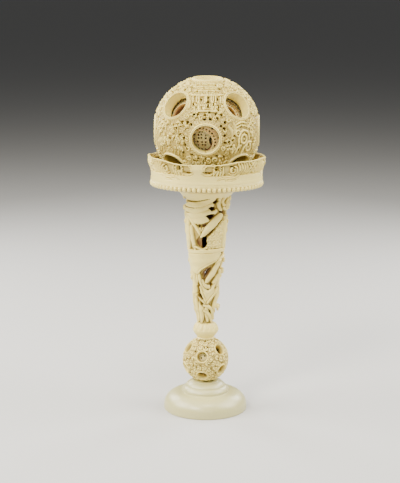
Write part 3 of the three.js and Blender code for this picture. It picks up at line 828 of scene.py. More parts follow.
def lined(shell, directions, profile, steps):
    """The shell with a lining set in each hole."""
    lining = bmesh.new()
    for direction in directions:
        add_part(lining, turned(profile, steps, closed=True), towards(direction))
    return combined(shell, mesh_from(lining), "UNION")


# Large ball


BALL_WALL = 10
BALL_RELIEF = 0.8
BALL_BORE = BALL_RADIUS - BALL_RELIEF - BALL_WALL
BALL_GROUND = -2.3
BALL_MOUTH = 12.5
BALL_MOUTH_DISTANCE = 47.77
BALL_FUNNEL = math.tan(math.radians(6))
BALL_COLLAR = 14.4
BALL_LINING = 1.4
BALL_HOLE_SIDES = 64
BALL_PEARLS = 38
BALL_CUTS = 122
BALL_PULL = np.array([0, -0.34, 0.06])
BALL_PIERCING_GAP = 6.2
BALL_DEEPEST = 9000
BALL_SEEN_COSINE = 0.62
CLOUD_TURNS = 1.3
SCENE_REACH = 31
BALL_SEAT = (
    Matrix.Translation((0, 0, BALL_Z))
    @ Matrix.Rotation(math.radians(BALL_TIP), 4, "X")
    @ Matrix.Rotation(math.radians(BALL_TURN), 4, "Z")
)


def from_angles(degrees, height):
    """The direction at an angle from the front and over the middle, in degrees."""
    turn, rise = math.radians(degrees), math.radians(height)
    return Vector((math.sin(turn) * math.cos(rise), -math.cos(turn) * math.cos(rise), math.sin(rise)))


def cloud(x, y, size, hand, start):
    """A curled cloud: a spiral that ends in a tail."""
    route = []
    for i in range(10):
        t = i / 9
        turn = start + hand * math.tau * CLOUD_TURNS * t
        reach = size * (1 - 0.82 * t)
        route.append((x + reach * math.cos(turn), y + reach * math.sin(turn)))
    return [cord(route, size * 0.52, 0, rise=1.3)]


def ring(x, y, size, width):
    turns = [math.tau * i / 12 for i in range(13)]
    route = [(x + size * math.cos(turn), y + size * 1.2 * math.sin(turn)) for turn in turns]
    return [
        cord(route, width, 0.1, ends=1, rise=1.2),
        cord([(x, y - 0.4), (x, y + 0.4)], size, -0.4),
    ]


def figure(x, y, tall, lean=0.0, hand=1):
    """A robed figure: folds, sleeves and a smooth head."""
    size = tall / 8

    def at(a, b):
        return x + size * (hand * a + lean * b / 8), y + size * b

    return [
        cord([at(-1.5, 0), at(-1.3, 3), at(-0.7, 6)], 1.7 * size, -0.8),
        cord([at(1.6, 0), at(1.2, 3), at(0.7, 6)], 1.7 * size, -0.7),
        cord([at(-0.2, 0), at(0, 3), at(0, 6.2)], 1.9 * size, -0.3, ends=0.8),
        cord([at(-0.8, 5.6), at(-2.1, 4.2), at(-0.4, 3.3)], 1.3 * size, 0, ends=0.7),
        cord([at(0.8, 5.6), at(2.1, 4.5), at(1.8, 2.8)], 1.3 * size, -0.1, ends=0.7),
        cord([at(0, 6.9), at(0, 7.6)], 2.2 * size, 0.2, ends=0.9, rise=1.4),
    ]


def tree(x, y, tall, lean=0.0, hand=1):
    """A trunk with fans of leaves."""
    trunk = [(x, y), (x + 0.5 * hand, y + tall * 0.4), (x + lean, y + tall * 0.8)]
    strokes = [cord(trunk, 1.5, -0.5)]
    for rise, out, size in ((0.5, 2.4, 1.9), (0.72, -2.2, 2.0), (0.95, 0.5, 2.3)):
        a, b = x + hand * out + lean * rise, y + tall * rise
        strokes.append(cord([(x + lean * rise * 0.8, b - 1.2), (a, b - 0.4)], 1.0, -0.6))
        for i in range(5):
            turn = math.radians(10 + 40 * i)
            tip = (a + size * math.cos(turn), b + size * math.sin(turn))
            strokes.append(cord([(a, b - 0.3), tip], 1.3, -0.05 * i, ends=0.7))
    return strokes


def rocks(x, y, wide, hand=1):
    """Waves of rock, one behind the other."""
    strokes = []
    for i in range(3):
        a = x + hand * wide * (i - 1) * 0.34
        b = y + 0.9 * (i % 2)
        route = [(a - 1.3 * hand, b - 1.6), (a, b + 1.5), (a + 1.5 * hand, b - 1.5)]
        strokes.append(fold(route, 1.9, -0.2 * i))
    return strokes


def many(make, *each):
    """The strokes of several forms of a kind."""
    return [stroke for given in each for stroke in make(*given)]


def leaning(make, *each):
    """The same, with each form turned the way it leans, its last number."""
    return many(make, *((*given, 1 if given[-1] > 0 else -1) for given in each))


def upper_scene():
    """Between the front mouth and the top one: a two-storeyed pavilion with people before it."""
    people = (
        (-10.5, 7.5, 0.6), (-6.6, 8.6, -0.3), (-1.6, 7.8, 0.4),
        (5.6, 8.8, 0), (8.8, 7.4, -0.5), (14.4, 7.6, 0.4),
    )
    strokes = leaning(figure, *((x, -11.4 - 0.012 * x * x, tall, lean) for x, tall, lean in people))
    strokes += [
        strap([(-13, -12.4), (-6, -12.9), (0, -13), (6, -12.9), (13, -12.2)], 1.7, 0, ends=1),
        cord([(-16, -9), (-15, -3), (-15.5, 2)], 2.2, -0.3),
        cord([(17.6, -8), (17, -2), (17.5, 3)], 2.2, -0.3),
    ]
    for x in (-12, -8.6, -6.6, -1, 0.2, 4.6, 6.4, 8.6, 13, 14.6):
        strokes.append(cord([(x, -3.6), (x, 3.4)], 1.3, -0.1, ends=1))
    eaves = [(-15.4, 6.4), (-11, 4.2), (-4, 3.4), (2, 3.3), (9, 3.9), (15.6, 6.2)]
    strokes.append(strap(eaves, 1.9, 0.1, ends=0.9))
    for i in range(15):
        x = -11.2 + 1.6 * i
        strokes.append(cord([(x, 4.6), (x * 0.84, 8.6)], 1.05, -0.35, ends=0.9))
    strokes += [
        strap([(-10.6, 9.4), (0, 8.9), (10.4, 9.4)], 1.5, 0, ends=0.9),
        strap([(-9.8, 11.9), (0, 11.4), (9.6, 11.9)], 1.1, -0.2, ends=0.9),
        strap([(-11.6, 15.6), (-8, 14.1), (0, 13.6), (8, 14.1), (11.6, 15.4)], 1.6, 0.1, ends=0.9),
        strap([(-7, 17), (0, 16.6), (7, 17)], 1.2, -0.1, ends=0.9),
        strap([(-8.4, 19.6), (0, 19), (8.2, 19.6)], 1.5, 0, ends=0.9),
    ]
    strokes += many(cloud, (12.6, 18.6, 3.2, 1, 2.0), (-13, 18.6, 3, -1, 1.0), (-16.6, 12, 2.8, 1, 0.5))
    strokes += cloud(17, 11.6, 2.8, -1, 2.4)
    strokes += many(tree, (-17.6, 3, 7, 0.6), (18.6, 2.4, 7, -0.6, -1), (-11, -20.6, 6.5, 0.6))
    strokes += tree(13.6, -20.6, 6.5, -0.4, -1)
    strokes += many(cloud, (-4.4, -19, 2.4, 1, 0), (8.4, -19, 2.4, -1, 1.2))
    strokes += rocks(1.8, -17.2, 5) + cloud(-17.6, -16.4, 2.6, 1, 2)
    return strokes


def left_scene():
    """Left of the front mouth: tall trees and grasses, with people between them."""
    strokes = leaning(
        tree,
        (-12, -13, 9, 0.8), (-7, -15, 10, -0.6), (-13.5, -1.5, 9, 0.6), (-9, 3.5, 9, 0.8),
        (6, -4.4, 10, 0.8), (12.4, 6, 8.6, -0.6), (18.6, 7.6, 7.4, 0.5), (-2.6, 6, 8.6, -0.6),
        (12, -15.4, 8, 0.6),
    )
    strokes += leaning(
        figure,
        (1, -7.6, 9, 0.4), (-4, -6, 8, -0.4), (11.6, -5, 8, 0.6), (17, -5.6, 7, -0.5),
        (5, 5.4, 7.4, 0.2),
    )
    for i in range(9):
        x = -16 + 3.9 * i
        strokes.append(cord([(x, -17), (x + 0.7, -13.4), (x + 1.6, -10.6)], 1.3, -0.4))
    strokes += many(rocks, (2, -12.6, 6), (14, -9.6, 6, -1), (-8, -5, 6))
    strokes += many(cloud, (17.6, 1.8, 2.3, 1, 1.5), (22, 0.6, 2, -1, 0.5), (22.6, -9, 2.3, 1, 2))
    strokes += cloud(20.4, 14, 2.2, -1, 1)
    return strokes


def right_scene():
    """Right of the front mouth: bold rings of cloud, figures and a bare slope."""
    strokes = [
        fold([(-17, 12), (-13, 4), (-15.4, -5)], 4, -0.3),
        fold([(-11.6, 14.6), (-10, 10), (-12, 4.6)], 3.4, -0.5),
        cord([(-9, 12.6), (-2, 14.4), (5, 12.4)], 1.8, -0.2),
        cord([(-9.6, 9.8), (-3, 11.4), (4, 9.6)], 1.6, -0.1),
    ]
    strokes += many(ring, (-1, -1.2, 3.4, 1.8), (5.6, -9.6, 3.1, 1.7), (-7.8, 4.6, 2.3, 1.4))
    strokes += [
        cord([(-7, -7), (-6.6, 1.6), (-2, 6.6), (4.4, 4.4), (6.2, -2)], 1.9, 0),
        cord([(-3, -16), (-0.6, -9.6), (4.6, -4.6), (10, -5.6)], 1.9, 0.1),
        cord([(-9.6, -14), (-7.6, -9), (-4, -6.6)], 1.8, -0.1),
    ]
    strokes += many(figure, (11, -1.6, 9, 0.4), (15, -13.4, 8, -0.4), (-12.6, -13.6, 8, 0.4))
    strokes += many(tree, (8, 3, 8, 0.6), (15.4, 5, 8, -0.6, -1), (-19.6, -14, 8, 0.5))
    strokes += rocks(-18, -3, 5)
    strokes += many(cloud, (-20.6, 8.4, 2.3, 1, 1), (-16.4, 17.6, 2.3, -1, 1), (-22.4, -8.4, 2.3, 1, 2))
    strokes += many(cloud, (12, 14, 2.6, 1, 0), (16, -4, 2.2, -1, 1))
    return strokes


def other_scene(seed):
    """A plainer scene of the same forms, for the places away from the front."""
    random = np.random.default_rng(seed)
    strokes = []
    for row in range(-3, 4):
        for column in range(-4, 5):
            x = 6.4 * column + 3.2 * (row % 2) + random.uniform(-0.7, 0.7)
            y = 6.6 * row + random.uniform(-0.7, 0.7)
            kind = random.integers(0, 5)
            hand = int(random.choice([-1, 1]))
            if kind == 0:
                strokes += figure(x, y - 3.4, 7.6, 0.4 * hand, hand)
            elif kind == 1:
                strokes += tree(x, y - 3.4, 7.2, 0.5 * hand, hand)
            elif kind == 2:
                strokes += rocks(x, y, 5.6, hand)
            else:
                strokes += cloud(x, y, 2.9, hand, random.uniform(0, math.tau))
    return strokes


# Piercings seen in front: degrees from the front and over the middle, width and height in mm, lean
BALL_PIERCINGS = [
    (-14, 26.3, 2.0, 2.6, 0.3), (-9.5, 26, 1.9, 2.6, -0.4), (-0.8, 25.9, 2.4, 2.4, 0),
    (4.1, 28.8, 2.4, 2.4, 0.5), (-1.2, 21.6, 3.0, 2.3, 0.2), (5.1, 21.6, 3.0, 2.4, -0.6),
    (13, 22.4, 2.2, 3.0, 0.4), (11.8, 27.2, 2.2, 2.2, 0), (18.4, 26, 2.6, 2.8, -0.5),
    (17.0, 14.2, 2.4, 3.0, 0.5), (20.2, 11.2, 2.8, 3.6, 0.5), (21.8, 17.9, 2.6, 3.0, -0.3),
    (20.6, 3.9, 3.0, 2.8, 0), (21, -3.6, 2.6, 2.8, 0.4), (25.2, -2.9, 2.2, 3.0, -0.7),
    (29.6, -1.3, 2.2, 3.0, -0.5), (31.2, 3, 2.2, 2.6, 0.4), (-26.7, 17, 2.4, 4.2, 0.2),
    (-20.4, 17.6, 2.6, 3.6, 0.3), (-15.9, 15.8, 2.2, 3.0, 0.5), (-32.9, 10.5, 2.0, 2.6, -0.3),
    (-28.2, 4.1, 2.6, 2.4, 0.8), (-34.6, 0, 2.2, 2.8, 0), (-41.1, -1.4, 2.6, 1.8, 0.4),
    (-23.1, 0.7, 2.0, 3.2, 0.2), (-22.2, -6.3, 2.2, 3.4, 0), (-19.9, -10.4, 2.2, 2.4, 0.5),
    (-25.3, -15.5, 2.6, 3.0, -0.5), (-15.8, -17, 2.8, 2.2, 0), (-7.8, -20.9, 2.8, 2.3, 0.4),
    (0.1, -21.8, 2.8, 2.2, 0), (6.4, -20.9, 2.4, 2.2, -0.4), (12.5, -17.9, 2.6, 2.4, 0.6),
    (20.8, -19.6, 2.6, 3.0, 0), (28.3, -8.3, 2.2, 2.4, 0.3), (-7.4, 44, 1.7, 2.6, 0),
    (2.9, 46, 1.7, 3.2, 0), (2.9, 41.4, 1.7, 3.6, 0), (2.8, 36.4, 1.6, 4.0, 0),
    (16.9, 44.4, 1.7, 3.6, 0), (15.9, 35.4, 1.7, 4.2, 0), (15.2, 30.8, 1.7, 2.6, 0),
    (-17, 38, 1.5, 3.4, 0), (9.6, 37, 1.4, 2.6, 0), (-12.6, 34, 1.4, 2.6, 0),
    (41, 12, 2.2, 2.6, 0.4), (48, 3, 2.2, 2.6, 0), (38, -13, 2.2, 2.8, 0.5),
    (51, -7, 2.2, 2.4, 0), (-52, 8, 2.0, 3.2, 0), (-47, -12, 2.0, 3.2, 0.3),
    (-60, -4, 2.0, 3.2, 0),
]


def chart(directions, centre):
    """Places on the ball in mm to the right of a centre and above it."""
    across = np.cross((0, 0, 1), centre)
    across = across / np.linalg.norm(across)
    up = np.cross(centre, across)
    angle = np.arccos(np.clip(directions @ centre, -1, 1))
    spread = angle / np.maximum(np.sin(angle), 1e-6) * BALL_RADIUS
    return directions @ across * spread, directions @ up * spread


def ball_carving(directions):
    """Height of the carving under or over the ball's radius, in mm."""
    clouds = Scrollwork(HOLES, BALL_RADIUS, BALL_COLLAR, spacing=5.4, pitch=2.6, depth=1, seed=11)
    level = BALL_GROUND + 0.9 * clouds.height(directions)
    edges = [(a, b, 0) for a in (-1, 1) for b in (-1, 1)]
    edges = edges + [(a, 0, b) for a, b, _ in edges] + [(0, a, b) for a, b, _ in edges]
    for number, edge in enumerate(edges):
        centre = np.array(edge) / math.sqrt(2)
        part = np.nonzero(directions @ centre > math.cos(math.radians(SCENE_REACH)))[0]
        x, y = chart(directions[part], centre)
        strokes = SCENES[edge]() if edge in SCENES else other_scene(number)
        carving = Carving(x, y, np.full(len(x), math.degrees(1)), 0)
        carving.level = level[part]
        for form, route, width, top, more in strokes:
            carving.stroke(route, width, top - 0.15, form, **{"rise": 1.5, "groove": 0.5, **more})
        level[part] = carving.level
    return level


SCENES = {(0, -1, 1): upper_scene, (-1, -1, 0): left_scene, (1, -1, 0): right_scene}


def pearls_round_holes(directions, away):
    """Height of a ring of small pearls round every hole, in mm."""
    nearest = np.argmax(directions @ as_rows(HOLES).T, axis=1)

    def along_axis(axis):
        axes = as_rows(towards(hole).to_3x3() @ Vector(axis) for hole in HOLES)
        return np.sum(directions * axes[nearest], axis=1)

    turn = np.arctan2(along_axis((0, 1, 0)), along_axis((1, 0, 0)))
    along = 0.5 + 0.5 * np.cos(BALL_PEARLS * turn)
    return 1.1 * along * np.exp(-(((away - BALL_COLLAR - 0.9) / 0.6) ** 2))


def make_outer_shell():
    mesh, directions = dense_ball(BALL_CUTS, BALL_PULL)
    nearest = np.max(directions @ as_rows(HOLES).T, axis=1)
    away = BALL_RADIUS * np.sqrt(1 - np.clip(nearest, 0, 1) ** 2)
    level = ball_carving(directions)
    level = BALL_GROUND + (level - BALL_GROUND) * smoothstep(BALL_COLLAR + 0.4, BALL_COLLAR + 1.8, away)
    level += pearls_round_holes(directions, away)
    set_points(mesh, directions * (BALL_RADIUS + level)[:, None])
    shell = combined(mesh, plain_ball(BALL_BORE, finer=5), "DIFFERENCE")
    shell = with_holes(
        shell, HOLES, BALL_MOUTH + BALL_LINING, BALL_MOUTH_DISTANCE, BALL_FUNNEL,
        inner=BALL_BORE - 3, outer=BALL_RADIUS + 3, sides=BALL_HOLE_SIDES,
    )
    random = np.random.default_rng(23)
    seen, sizes = [], []
    for degrees, height, width, tall, lean in BALL_PIERCINGS:
        seen.append(tuple(from_angles(degrees, height)))
        spin = lean + math.radians(degrees) * math.cos(math.radians(height))
        sizes.append((width * 1.22, tall * 1.15, spin))
    order = np.argsort(level + random.normal(size=len(level)) * 0.25)
    unseen = directions[order] @ np.array([0, -1, 0]) < BALL_SEEN_COSINE
    deepest = order[(away[order] > BALL_COLLAR + 1.8) & unseen][:BALL_DEEPEST]
    places = spaced(directions[deepest], BALL_PIERCING_GAP / BALL_RADIUS, seen)
    sizes += uneven_sizes(random, places[len(seen):], wide=(1.6, 2.4), tall=(2.2, 3.4))
    shell = drilled(shell, places, sizes, inner=BALL_BORE - 2, outer=BALL_RADIUS + 1, sides=6)
    profile = collar_profile(BALL_MOUTH, BALL_MOUTH_DISTANCE, BALL_FUNNEL, BALL_BORE, BALL_COLLAR)
    shell = lined(shell, HOLES, profile, BALL_HOLE_SIDES)
    places = points_of(shell)
    depth = BALL_RADIUS - np.linalg.norm(places, axis=1)
    off = off_axis(HOLES, places)
    # Patina and painted shade: darker down into the relief's ground and the piercings
    hollow = patina_and_shade_by_depth(depth, (0.3, 2, 0.45), (2.3, 2.2, 0.62))
    # Painted shade in the holes' linings: a little, more the deeper down each funnel
    lining = 0.03 + patina_and_shade_by_depth(depth, (3, BALL_WALL, 0.2))
    # More painted shade deep in the linings of the lower holes
    lining += 0.4 * smoothstep(2.4, 5, depth) * (places[:, 2] < -12)
    # A line of painted shade in the groove between the collar's two rings
    between_rings = (off - BALL_MOUTH - 0.5 * (BALL_COLLAR - BALL_MOUTH)) / 0.35
    lining += 0.3 * np.exp(-between_rings ** 2) * (depth < 4)
    hollow = np.where(off < BALL_COLLAR + 0.05, lining, hollow)
    set_down(shell, "carved_outer_shell", "ball_outer_shell", CARVED, hollow, BALL_SEAT)


# The large ball's inner shells


SHELL_SINK = 0.8
# shade is painted shade over the whole shell: the second shell lies in the outer shell's shadow
NESTED = {
    "ball_second_shell": dict(radius=37.2, wall=4.8, hole=10.2, tip=10.8, turn=-8, sink=1, shade=0.12),
    "ball_third_shell": dict(radius=30.4, wall=4.4, hole=5.8, tip=9.2, turn=14.5, sink=2, shade=0),
    "ball_innermost_shell": dict(radius=24, wall=9, hole=4, tip=4, turn=38, sink=3, shade=0),
}


def nested_seat(size):
    """Where a loose shell lies: tipped, turned and sunk a little in the one round it."""
    return (
        Matrix.Translation((0, 0, BALL_Z - size["sink"] * SHELL_SINK))
        @ Matrix.Rotation(math.radians(size["tip"]), 4, "X")
        @ Matrix.Rotation(math.radians(size["turn"]), 4, "Z")
    )


def rimmed_ball(radius, wall, hole):
    """A smooth shell with its main holes, each with a fine raised rim."""
    sides = 56
    shell = holed_ball(radius, wall, hole, HOLES, finer=6, spare=2, sides=sides)
    distance = math.sqrt(radius ** 2 - hole ** 2)
    depth = 3.2
    low = distance - depth
    rim = [
        (hole - depth * (hole / distance), low),
        (hole - 0.02, distance - 0.1),
        (hole + 0.25, distance + 0.22),
        (hole + 0.6, distance + 0.2),
        (hole + 0.95, distance - 0.25),
        (hole + 0.95, low),
    ]
    return lined(shell, HOLES, rim, sides)


def grid_directions(step):
    """Directions on a square lattice laid over each face of a cube."""
    count = round(math.pi / 2 / step)
    ticks = [(i - (count - 1) / 2) * step for i in range(count)]
    found = []
    for face in FACES:
        swing = towards(face).to_3x3()
        for a in ticks:
            for b in ticks:
                found.append(tuple((swing @ Vector((math.tan(a), math.tan(b), 1))).normalized()))
    return np.array(found)


def make_nested(name, title):
    size = NESTED[name]
    radius, hole, wall = size["radius"], size["hole"], size["wall"]
    shell = rimmed_ball(radius, wall, hole)
    random = np.random.default_rng(int(radius))
    sides = 6
    if name == "ball_second_shell":
        rings = rings_round(HOLES, math.asin((hole + 2.3) / radius), count=26)
        fill = clear_of(HOLES, even_directions(1500), radius, reach=hole + 4.4)
        places = spaced([*rings, *fill], 2.7 / radius)
        sizes = uneven_sizes(random, places, wide=(1.7, 2.2), tall=(2.1, 2.8))
    elif name == "ball_third_shell":
        places = grid_directions(3.5 / radius)
        places = unit_rows(places + random.normal(size=places.shape) * 0.35 / radius)
        places = clear_of(HOLES, places, radius, reach=hole + 2.4)
        sizes = [(random.uniform(1.8, 2.3), 2.1, 0) for _ in places]
        sides = 8
    else:
        places = clear_of(HOLES, even_directions(260), radius, reach=hole + 2)
        sizes = [(2, 2, 0)] * len(places)
    shell = drilled(shell, places, sizes, inner=radius - wall - 1, outer=radius + 1, sides=sides)
    depth = radius + 0.2 - np.linalg.norm(points_of(shell), axis=1)
    # Patina and painted shade by depth, over the shell's own painted shade
    hollow = size["shade"] + patina_and_shade_by_depth(depth, (0, 0.9, 0.44), (0.9, wall * 0.5, 0.6))
    set_down(shell, title, name, INNER_PAINTED_LIGHTER, hollow, nested_seat(size))


# Small ball


SMALL_TURN = -25
SMALL_CORE_TURN = 5
SMALL_WALL = 5.4
SMALL_MOUTH = 5.2
SMALL_COLLAR = 6.1
SMALL_RELIEF = 1.3
SMALL_CORE_RADIUS = 15.2
SMALL_CORE_WALL = 4
SMALL_CORE_HOLE = 3.2
SMALL_CORE_SINK = 0.4
SMALL_CUTS = 84
SMALL_FUNNEL = 0.34
SMALL_LINING = 0.4
SMALL_HOLE_SIDES = 40

# Piercings seen in front: degrees from the front and over the middle
SMALL_PIERCINGS = [
    (3, 33), (-32, 32), (-25, 38), (-5, 44), (7, 45), (23, 22), (17, 6), (8, 0), (35, 13), (-31, 11),
    (-24, 2), (-33, -5), (-14, -4), (-15, -20), (2, -24), (25, -5), (-44, 12), (-47, -6), (14, -12),
]


# One corner hole points straight down and one straight up, where the foot and the stem cover them
UPRIGHT = Vector((1, 1, 1)).normalized().rotation_difference(UP)
SMALL_HOLES = [hole for hole in (UPRIGHT @ hole for hole in HOLES) if abs(hole.z) < 0.99]
SMALL_PULL = 0.25 * np.array(from_angles(-SMALL_TURN, 8))


def small_seat(turn, sink=0):
    """Where the small ball and its core lie."""
    return Matrix.Translation((0, 0, SMALL_Z - sink)) @ Matrix.Rotation(math.radians(turn), 4, "Z")


def make_small_shell():
    work = Scrollwork(
        SMALL_HOLES, SMALL_RADIUS, SMALL_COLLAR, spacing=4.6, pitch=2.6, depth=SMALL_RELIEF, seed=5,
    )
    mesh, directions = dense_ball(SMALL_CUTS, SMALL_PULL)
    clear = smoothstep(SMALL_COLLAR - 0.1, SMALL_COLLAR + 0.5, work.from_hole(directions))
    carved = work.height(directions) * clear
    set_points(mesh, directions * (SMALL_RADIUS - SMALL_RELIEF + carved)[:, None])
    bore = SMALL_RADIUS - SMALL_WALL
    shell = combined(mesh, plain_ball(bore, finer=4), "DIFFERENCE")
    distance = math.sqrt(SMALL_RADIUS ** 2 - SMALL_MOUTH ** 2) - 0.15
    shell = with_holes(
        shell, SMALL_HOLES, SMALL_MOUTH + SMALL_LINING, distance, SMALL_FUNNEL,
        inner=bore - 2, outer=SMALL_RADIUS + 1, sides=SMALL_HOLE_SIDES,
    )
    random = np.random.default_rng(8)
    seen = [tuple(from_angles(degrees - SMALL_TURN, height)) for degrees, height in SMALL_PIERCINGS]
    others = work.piercings(count=120, gap=3.4, margin=1.2)
    places = spaced([*seen, *others], 3.2 / SMALL_RADIUS)
    sizes = uneven_sizes(random, places, wide=(1.5, 2.1), tall=(1.8, 2.5))
    shell = drilled(shell, places, sizes, inner=bore - 1, outer=SMALL_RADIUS + 0.6, sides=7)
    foot = SMALL_MOUTH - (distance - bore) * SMALL_FUNNEL
    profile = [
        (foot, bore - 0.1),
        (SMALL_MOUTH - 0.4 * SMALL_FUNNEL, distance - 0.4),
        (SMALL_MOUTH + 0.05, distance - 0.05),
        (SMALL_MOUTH + 0.3, distance + 0.12),
        (SMALL_MOUTH + 0.6, distance - 0.05),
        (SMALL_MOUTH + 0.8, distance - 0.45),
        (SMALL_MOUTH + 0.8, distance - 1.4),
        (foot + 0.8, bore - 0.1),
    ]
    shell = lined(shell, SMALL_HOLES, profile, SMALL_HOLE_SIDES)
    places = points_of(shell)
    depth = SMALL_RADIUS - np.linalg.norm(places, axis=1)
    # Patina and painted shade: darker down into the relief and the piercings
    hollow = patina_and_shade_by_depth(depth, (0.1, 1.1, 0.62), (1.2, 1.6, 0.55))
    # Painted shade in the holes' linings, more the deeper down each funnel
    lining = 0.06 + patina_and_shade_by_depth(depth, (1, 4, 0.6))
    hollow = np.where(off_axis(SMALL_HOLES, places) < SMALL_COLLAR + 0.02, lining, hollow)
    set_down(shell, "small_carved_shell", "small_ball_shell", CARVED, hollow, small_seat(SMALL_TURN))


def make_small_core():
    radius, wall, hole = SMALL_CORE_RADIUS, SMALL_CORE_WALL, SMALL_CORE_HOLE
    core = holed_ball(radius, wall, hole, SMALL_HOLES, finer=5, spare=1, sides=32)
    places = clear_of(SMALL_HOLES, even_directions(210), radius, reach=hole + 1)
    sizes = [(1.8, 1.8, 0)] * len(places)
    core = drilled(core, places, sizes, inner=radius - wall - 1, outer=radius + 1, sides=8)
    depth = radius - np.linalg.norm(points_of(core), axis=1)
    # Patina and painted shade, darker the deeper a place lies
    hollow = patina_and_shade_by_depth(depth, (0, 0.5, 0.34), (0.5, wall * 0.4, 0.66))
    seat = small_seat(SMALL_CORE_TURN, SMALL_CORE_SINK)
    set_down(core, "small_drilled_core", "small_ball_core", INNER_PAINTED_LIGHTER, hollow, seat)


# Turned work that is carved: cutters, and outlines in degrees from the front and mm


def radial_cutter(outlines, outer, inner, squeeze=0.8):
    """Wedges with [degrees, height] outlines, narrowing towards the axis, to cut holes with."""
    shape = bmesh.new()
    for outline in outlines:
        corners = []
        for degrees, height in outline:
            turn = math.radians(degrees)
            corners.append(shape.verts.new((outer * math.sin(turn), -outer * math.cos(turn), height)))
        face = shape.faces.new(corners)
        pushed = bmesh.ops.extrude_face_region(shape, geom=[face])["geom"]
        moved = [item for item in pushed if isinstance(item, bmesh.types.BMVert)]
        middle = sum((vert.co.z for vert in moved)) / len(moved)
        for vert in moved:
            vert.co.x *= inner / outer
            vert.co.y *= inner / outer
            vert.co.z = middle + (vert.co.z - middle) * squeeze
    bmesh.ops.recalc_face_normals(shape, faces=shape.faces[:])
    return mesh_from(shape)


def widened(outline, times):
    """An outline drawn out from its middle."""
    x = sum(place[0] for place in outline) / len(outline)
    z = sum(place[1] for place in outline) / len(outline)
    return [(x + (a - x) * times, z + (b - z) * times) for a, b in outline]


def front_dense(places, share):
    """Degrees from the front, drawn together there, and distances from the axis, of turned places."""
    turn = np.arctan2(places[:, 0], -places[:, 1])
    turn -= share * np.sin(turn)
    away = np.hypot(places[:, 0], places[:, 1])
    return np.degrees(turn), away


def placed(degrees, radii, heights):
    """Places from degrees from the front, distances from the axis and heights."""
    turn = np.radians(degrees)
    return np.stack([radii * np.sin(turn), -radii * np.cos(turn), heights], axis=1)


def circle(degrees, height, size, radius):
    """A circle's outline in [degrees, height], its size in mm."""
    corners = 16
    outline = []
    for i in range(corners):
        turn = math.tau * i / corners
        x, z = size / 2 * math.cos(turn), size / 2 * math.sin(turn)
        outline.append((degrees + math.degrees(x / radius), height + z))
    return outline


# Stem: neck, knop and openwork of draped bands


STEM_SILHOUETTE = [
    (68.7, 8.6), (69.2, 8.6), (69.7, 8.0), (70.3, 8.1), (71.2, 8.9), (73.6, 10.9), (75.8, 12.1),
    (77, 12.3), (79.6, 11.7), (82, 10.2), (84.3, 8.9), (89.7, 9.0), (93.4, 10.1), (97.3, 11.6),
    (101.2, 12.3), (112.7, 13.2), (120.7, 13.1), (126.7, 13.8), (134.7, 15.1), (141.7, 16),
    (145.7, 17), (151.2, 17.3), (161.7, 18.6), (171.7, 19.9), (188.7, 20.4), (195.3, 21.3),
    (201.2, 21.2), (204.7, 22.4), (207.7, 24.6), (209.7, 26.6), (210.7, 27),
]
STEM_FROM, STEM_TO = 68.7, 210.7
STEM_TOP_RADIUS = 27
STEM_COLUMNS = 230
STEM_ROWS = 320
STEM_FRONT_SHARE = 0.38
STEM_GROUND = -2.9
STEM_HOLLOW_TOP = -4.3
STEM_BORE_WALL = 5.2
STEM_BORE_FROM, STEM_BORE_TO = 98.7, 207.7
STEM_BORE_COLUMNS = 60
STEM_BORE_ROWS = 24
STEM_HOLE_MARGIN = 1.22
KNOP_LOBES = 14
# Turned lines on the knop: height, width and depth
KNOP_LINES = [(73.4, 0.5, 0.3), (76, 0.4, 0.3), (70, 0.4, 0.25)]

# What a stroke of the stem has unless it says otherwise, and what a soft one has.
# Each route is in degrees from the front and heights in mm; the width and the top are in mm.
DRAPED = dict(rise=2.3, groove=0.9)
SOFT = dict(rise=1.1, groove=0.4, ends=0.8)
